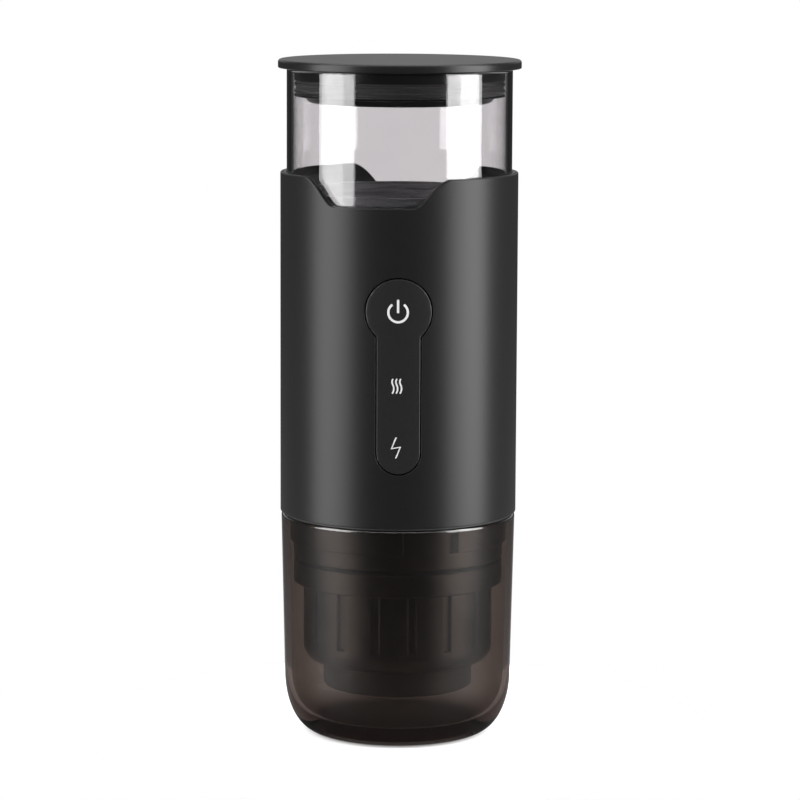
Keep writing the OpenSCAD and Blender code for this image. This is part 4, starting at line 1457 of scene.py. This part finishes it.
@dataclass
class Lid:
    """The lid's disc, its hollow plug and the lipped silicone ring."""

    radius: float = 38.25
    low_z: float = 211.8
    thick: float = 2.7
    edge: float = 0.9
    low_edge: float = 0.35
    plug_r: float = 33.15
    plug_low: float = 203.1
    plug_bore: float = 26.9
    plug_floor: float = 2.0
    nose_r: float = 28.9
    nose_low: float = 201.0
    nose_spread: float = 1.0
    nose_round: float = 1.2
    step_round: float = 1.0
    bore_round: float = 0.6
    # Seal: groove and lips, by their depths under the disc
    groove_in: float = 1.7
    groove_low: float = 8.0
    groove_high: float = 3.6
    groove_round: float = 0.15
    seal_fit: float = 0.05
    lip_r: float = 33.2
    lip_h: float = 0.57
    lip_round: float = 0.3
    lip_root: float = 0.1
    lips: tuple[Point, ...] = ((7.2, 6.4), (5.2, 4.4))

    def cap(self) -> BMesh:
        """Build the disc.

        Returns:
            The closed shape.
        """
        top = self.low_z + self.thick
        return turned([
            (0, self.low_z, 0),
            (self.radius, self.low_z, self.low_edge),
            (self.radius, top, self.edge),
            (0, top, 0),
        ], steps=FINE_STEPS)

    def plug(self) -> BMesh:
        """Build the plug with the groove for its seal.

        Returns:
            The closed shape.
        """
        groove = self.lip_r - self.groove_in
        low, high = self.low_z - self.groove_low, self.low_z - self.groove_high
        floor = self.nose_low + self.plug_floor
        return turned([
            (0, self.nose_low, 0),
            (self.nose_r, self.nose_low, self.nose_round),
            (self.nose_r + self.nose_spread, self.plug_low, self.step_round),
            (self.plug_r, self.plug_low, SOFT),
            (self.plug_r, low, self.groove_round),
            (groove, low, 0),
            (groove, high, 0),
            (self.plug_r, high, self.groove_round),
            (self.plug_r, self.low_z, 0),
            (self.plug_bore, self.low_z, 0),
            (self.plug_bore, floor, self.bore_round),
            (0, floor, 0),
        ])

    def seal(self) -> BMesh:
        """Build the ring with its two lips.

        Returns:
            The closed shape.
        """
        inner, base = self.lip_r - self.groove_in, self.lip_r - self.lip_h
        root = self.lip_root
        low = self.low_z - self.groove_low + self.seal_fit
        high = self.low_z - self.groove_high - self.seal_fit
        outline: list[Corner] = [(inner, low, 0), (base, low, root)]
        for bottom, top in self.lips:
            outline += [
                (base, self.low_z - bottom, root),
                (self.lip_r, self.low_z - bottom, self.lip_round),
                (self.lip_r, self.low_z - top, self.lip_round),
                (base, self.low_z - top, root),
            ]
        return turned([*outline, (base, high, root), (inner, high, 0)])

    def build(self, palette: Palette) -> None:
        """Build and dress the lid.

        Args:
            palette: Materials by their keys.
        """
        black = palette["lid_black"]
        place(self.cap(), "lid_disc", Body.LID, black, ["lid_cap"])
        place(self.plug(), "lid_plug_body", Body.LID, black, ["lid_plug"])
        place(
            self.seal(), "lid_seal_ring", Body.LID,
            palette["black_silicone"], ["lid_seal"],
        )


@dataclass
class PumpSpring:
    """The coil spring under the pump's piston, wound at its full length; the real one shortens
    with the stroke.
    """

    wire_r: float = 0.35
    wire_sides: int = 10
    turns: int = 5
    turn_steps: int = 24
    # Share of its length that is left at the end of the stroke
    kept: float = 0.48

    def build(self, palette: Palette) -> None:
        """Wind and dress the spring.

        Args:
            palette: Materials by their keys.
        """
        low, high = (Vector(corner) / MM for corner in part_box("pump_spring"))
        middle = (low + high) / 2
        radius = (high.x - low.x) / 2 - self.wire_r
        steps = self.turns * self.turn_steps
        rise = high.z - low.z - 2 * self.wire_r
        bm = bmesh.new()
        start = Matrix.Translation((radius, 0, low.z + self.wire_r))
        bmesh.ops.create_circle(
            bm, cap_ends=True, segments=self.wire_sides, radius=self.wire_r,
            matrix=start @ Matrix.Rotation(math.pi / 2, 4, "X"),
        )
        bmesh.ops.spin(
            bm, geom=bm.faces[:], cent=(0, 0, 0), axis=(0, 0, 1), dvec=(0, 0, rise / steps),
            angle=math.tau * self.turns, steps=steps,
        )
        bmesh.ops.recalc_face_normals(bm, faces=bm.faces)
        bmesh.ops.translate(bm, verts=bm.verts, vec=(middle.x, middle.y, 0))
        spring = place(
            bm, "pump_return_spring", Body.MACHINE, palette["stainless"],
            ["pump_spring"],
        )
        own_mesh(spring)


@dataclass
class InnerWorks:
    """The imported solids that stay: they only need their finishes."""

    # The tank's gasket takes the paler silicone: painted light for the lamp light that the glass
    # keeps from it
    special: dict[str, str] = field(default_factory=lambda: {"tank_gasket": "gasket_silicone_painted_light"})

    def build(self, palette: Palette) -> None:
        """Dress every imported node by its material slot, or by its own finish.

        Args:
            palette: Materials by their keys.
        """
        for name, node in frame["nodes"].items():
            for slot in node.material_slots:
                slot.material = palette[self.special.get(name, slot.material.name)]
            LOG.info("%s: packed solid dressed", name)


@dataclass(frozen=True)
class Softbox:
    """A lamp with an even rectangular face.

    Attributes:
        name: Its name.
        spot: Its place in metres.
        aim: Point that it faces.
        size: Width and height in metres.
        radiance: Brightness of its face, where one is white.
    """

    name: str
    spot: Corner
    aim: Corner
    size: Point
    radiance: float

    def hang(self) -> None:
        """Add the lamp, out of the camera's sight."""
        data = bpy.data.lights.new(self.name, "AREA")
        data.shape = "RECTANGLE"
        data.size, data.size_y = self.size
        data.energy = self.radiance * math.pi * self.size[0] * self.size[1]
        lamp = bpy.data.objects.new(self.name, data)
        bpy.context.scene.collection.objects.link(lamp)
        spot, aim = Vector(self.spot), Vector(self.aim)
        lamp.location = spot
        lamp.rotation_mode = "QUATERNION"
        lamp.rotation_quaternion = (aim - spot).to_track_quat("-Z", "Y")
        lamp.visible_camera = False


@dataclass(frozen=True)
class Span:
    """A part of the surroundings along one axis.

    Attributes:
        axis: Axis of the direction.
        start: Share of that axis at which it begins.
        full: Share at which it is full.
        most: Brightness that it then gives.
    """

    axis: Axis
    start: float
    full: float
    most: float


@dataclass
class Studio:
    """Camera, softboxes, floor and surroundings, in metres."""

    eye: Corner = (0.0005, -1.0997, 0.2662)
    pitch: float = 8.267
    lean: float = 0.25
    lens: float = 157.2
    sensor: float = 36.0
    # Side softboxes, each with a hotter core: angle from the front, width, low edge, radiance
    box_distance: float = 0.9
    box_top: float = 1.05
    side_boxes: tuple[tuple[str, float, float, float, float], ...] = (
        ("softbox_left", -67.2, 0.68, -0.25, 6.0),
        ("softbox_left_core", -69.7, 0.36, -0.25, 1.8),
        ("softbox_right", 69.7, 0.68, -0.17, 7.4),
        ("softbox_right_core", 74.7, 0.36, -0.17, 3.2),
    )
    high_boxes: tuple[Softbox, ...] = (
        Softbox("softbox_top", (0, 0.25, 1.2), (0, 0, 0.2), (1.6, 0.8), 4.0),
        Softbox("softbox_front", (0, -0.75, 1.0), (0, 0, 0.1), (1.8, 0.4), 2.2),
    )
    # Brightness of the room, of the backdrop and of the table far behind the object
    room: float = 0.05
    backdrop: tuple[Span, Span] = (
        Span(Axis.DEPTH, 0.5, 0.95, 1.0), Span(Axis.HEIGHT, 0.02, 0.14, 0.45),
    )
    far_table: tuple[Span, Span] = (
        Span(Axis.DEPTH, -0.1, 0.6, 1.0), Span(Axis.HEIGHT, -0.14, -0.26, 0.5),
    )
    # Table top: its tone, the darker one that reflections see, and a glow painted on it as fill
    # light, which fades out at the foot of the cup: painted shadow there, over the real contact
    # shadow
    floor_r: float = 0.1
    floor_sides: int = 96
    floor_tone: float = 0.68
    mirrored_tone: float = 0.2
    painted_shadow_r: Point = (0.026, 0.030)
    fill: Point = (0.16, 0.6)

    def camera(self) -> None:
        """Set the camera at the photograph's viewing angle."""
        data = bpy.data.cameras.new("camera")
        data.lens = self.lens
        data.sensor_width = self.sensor
        camera = bpy.data.objects.new("camera", data)
        bpy.context.scene.collection.objects.link(camera)
        camera.matrix_world = (
            Matrix.Translation(self.eye)
            @ Matrix.Rotation(math.radians(90 - self.pitch), 4, "X")
            @ Matrix.Rotation(math.radians(self.lean), 4, "Z")
        )
        bpy.context.scene.camera = camera

    def softboxes(self) -> None:
        """Hang a tall softbox with a hot middle on each side, and two overhead."""
        for name, angle, width, low, radiance in self.side_boxes:
            turn, centre = math.radians(angle), (low + self.box_top) / 2
            across, along = math.sin(turn), -math.cos(turn)
            spot = (across * self.box_distance, along * self.box_distance, centre)
            size = (width, self.box_top - low)
            Softbox(name, spot, (0, 0, centre), size, radiance).hang()
        for box in self.high_boxes:
            box.hang()

    def seen(self, tree: bpy.types.NodeTree) -> bpy.types.NodeSocket:
        """Tell rays that should see a white background.

        Args:
            tree: The world's nodes.

        Returns:
            One for the camera's rays and for those that only passed clear walls.
        """
        path = add_node(tree, "ShaderNodeLightPath")
        bounces = add_node(
            tree,
            "ShaderNodeMath",
            {0: path.outputs["Glossy Depth"], 1: path.outputs["Diffuse Depth"]},
            operation="ADD",
        ).outputs["Value"]
        straight = add_node(
            tree, "ShaderNodeMath", {0: bounces, 1: 0.5}, operation="LESS_THAN"
        ).outputs["Value"]
        passed = add_node(
            tree,
            "ShaderNodeMath",
            {0: path.outputs["Is Transmission Ray"], 1: straight},
            operation="MULTIPLY",
        ).outputs["Value"]
        return add_node(
            tree,
            "ShaderNodeMath",
            {0: path.outputs["Is Camera Ray"], 1: passed},
            operation="MAXIMUM",
        ).outputs["Value"]

    def surroundings(self, tree: bpy.types.NodeTree) -> bpy.types.NodeSocket:
        """Brighten the room by the backdrop and the far table.

        Args:
            tree: The world's nodes.

        Returns:
            Brightness by direction.
        """
        direction = add_node(tree, "ShaderNodeTexCoord").outputs["Generated"]
        split = add_node(tree, "ShaderNodeSeparateXYZ", {"Vector": direction})
        bright: float | bpy.types.NodeSocket = self.room
        for spans in (self.backdrop, self.far_table):
            shares = [
                add_node(
                    tree,
                    "ShaderNodeMapRange",
                    {
                        "Value": split.outputs[span.axis.value],
                        "From Min": span.start,
                        "From Max": span.full,
                        "To Max": span.most,
                    },
                ).outputs["Result"]
                for span in spans
            ]
            bright = add_node(
                tree,
                "ShaderNodeMath",
                {0: shares[0], 1: shares[1], 2: bright},
                operation="MULTIPLY_ADD",
            ).outputs["Value"]
        return bright

    def world(self) -> None:
        """Surround the object with a white background and a dimmer room in front."""
        world = bpy.data.worlds.new("studio")
        bpy.context.scene.world = world
        world.use_nodes = True
        tree = world.node_tree
        tree.nodes.clear()
        dim, white = (
            add_node(tree, "ShaderNodeBackground", {"Color": WHITE, "Strength": strength})
            for strength in (self.surroundings(tree), 1.0)
        )
        mixed = add_node(
            tree,
            "ShaderNodeMixShader",
            {0: self.seen(tree), 1: dim.outputs[0], 2: white.outputs[0]},
        )
        add_node(tree, "ShaderNodeOutputWorld", {"Surface": mixed.outputs[0]})

    def table_finish(self) -> bpy.types.Material:
        """Make the matt, pale table top: an even near-white that keeps the soft shadow, with
        painted shadow under the cup's foot where its glow fades out.

        Returns:
            The Blender material.
        """
        material = empty_material("pale_table")
        tree = material.node_tree
        path = add_node(tree, "ShaderNodeLightPath")
        tone = add_node(
            tree,
            "ShaderNodeMapRange",
            {
                "Value": path.outputs["Is Glossy Ray"],
                "To Min": self.floor_tone,
                "To Max": self.mirrored_tone,
            },
        ).outputs["Result"]
        matt = add_node(tree, "ShaderNodeBsdfDiffuse", {"Color": tone})
        # The glow fades out round the cup's foot: painted shadow on top of the real contact shadow
        fill = add_node(
            tree,
            "ShaderNodeMapRange",
            {
                "Value": axis_distance(tree),
                "From Min": self.painted_shadow_r[0],
                "From Max": self.painted_shadow_r[1],
                "To Min": self.fill[0],
                "To Max": self.fill[1],
            },
        ).outputs["Result"]
        watched = add_node(
            tree,
            "ShaderNodeMath",
            {0: path.outputs["Is Camera Ray"], 1: path.outputs["Is Transmission Ray"]},
            operation="ADD",
        ).outputs["Value"]
        glow = add_node(tree, "ShaderNodeMath", {0: fill, 1: watched}, operation="MULTIPLY")
        lit = add_node(tree, "ShaderNodeEmission", {"Strength": glow.outputs["Value"]})
        both = add_node(tree, "ShaderNodeAddShader", {0: matt.outputs[0], 1: lit.outputs[0]})
        add_node(tree, "ShaderNodeOutputMaterial", {"Surface": both.outputs[0]})
        return material

    def floor(self) -> None:
        """Lay a round pale table top under the object."""
        bm = bmesh.new()
        bmesh.ops.create_circle(
            bm, cap_ends=True, segments=self.floor_sides, radius=self.floor_r
        )
        mesh = bpy.data.meshes.new("table_top")
        bm.to_mesh(mesh)
        bm.free()
        table = bpy.data.objects.new("table_top", mesh)
        bpy.context.scene.collection.objects.link(table)
        mesh.materials.append(self.table_finish())

    def build(self) -> None:
        """Set up the whole studio."""
        self.camera()
        self.softboxes()
        self.world()
        self.floor()
        bpy.context.scene.view_settings.view_transform = "Standard"


def clear_start_scene() -> None:
    """Remove the objects that a new Blender file starts with."""
    keep = [*frame["nodes"].values(), *frame["bodies"].values()]
    for obj in list(bpy.data.objects):
        if obj not in keep:
            bpy.data.objects.remove(obj)


def main() -> None:
    """Build every sub-assembly in order."""
    logging.basicConfig(level=logging.INFO, format="%(name)s: %(message)s")
    clear_start_scene()
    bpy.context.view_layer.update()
    palette = {key: finish.build() for key, finish in FINISHES.items()}
    InnerWorks().build(palette)
    for part in (Cup(), BrewGroup(), Sleeve(), KeyPlate(), Tank(), Lid(), PumpSpring()):
        part.build(palette)
    Studio().build()


if __name__ == "__main__":
    main()
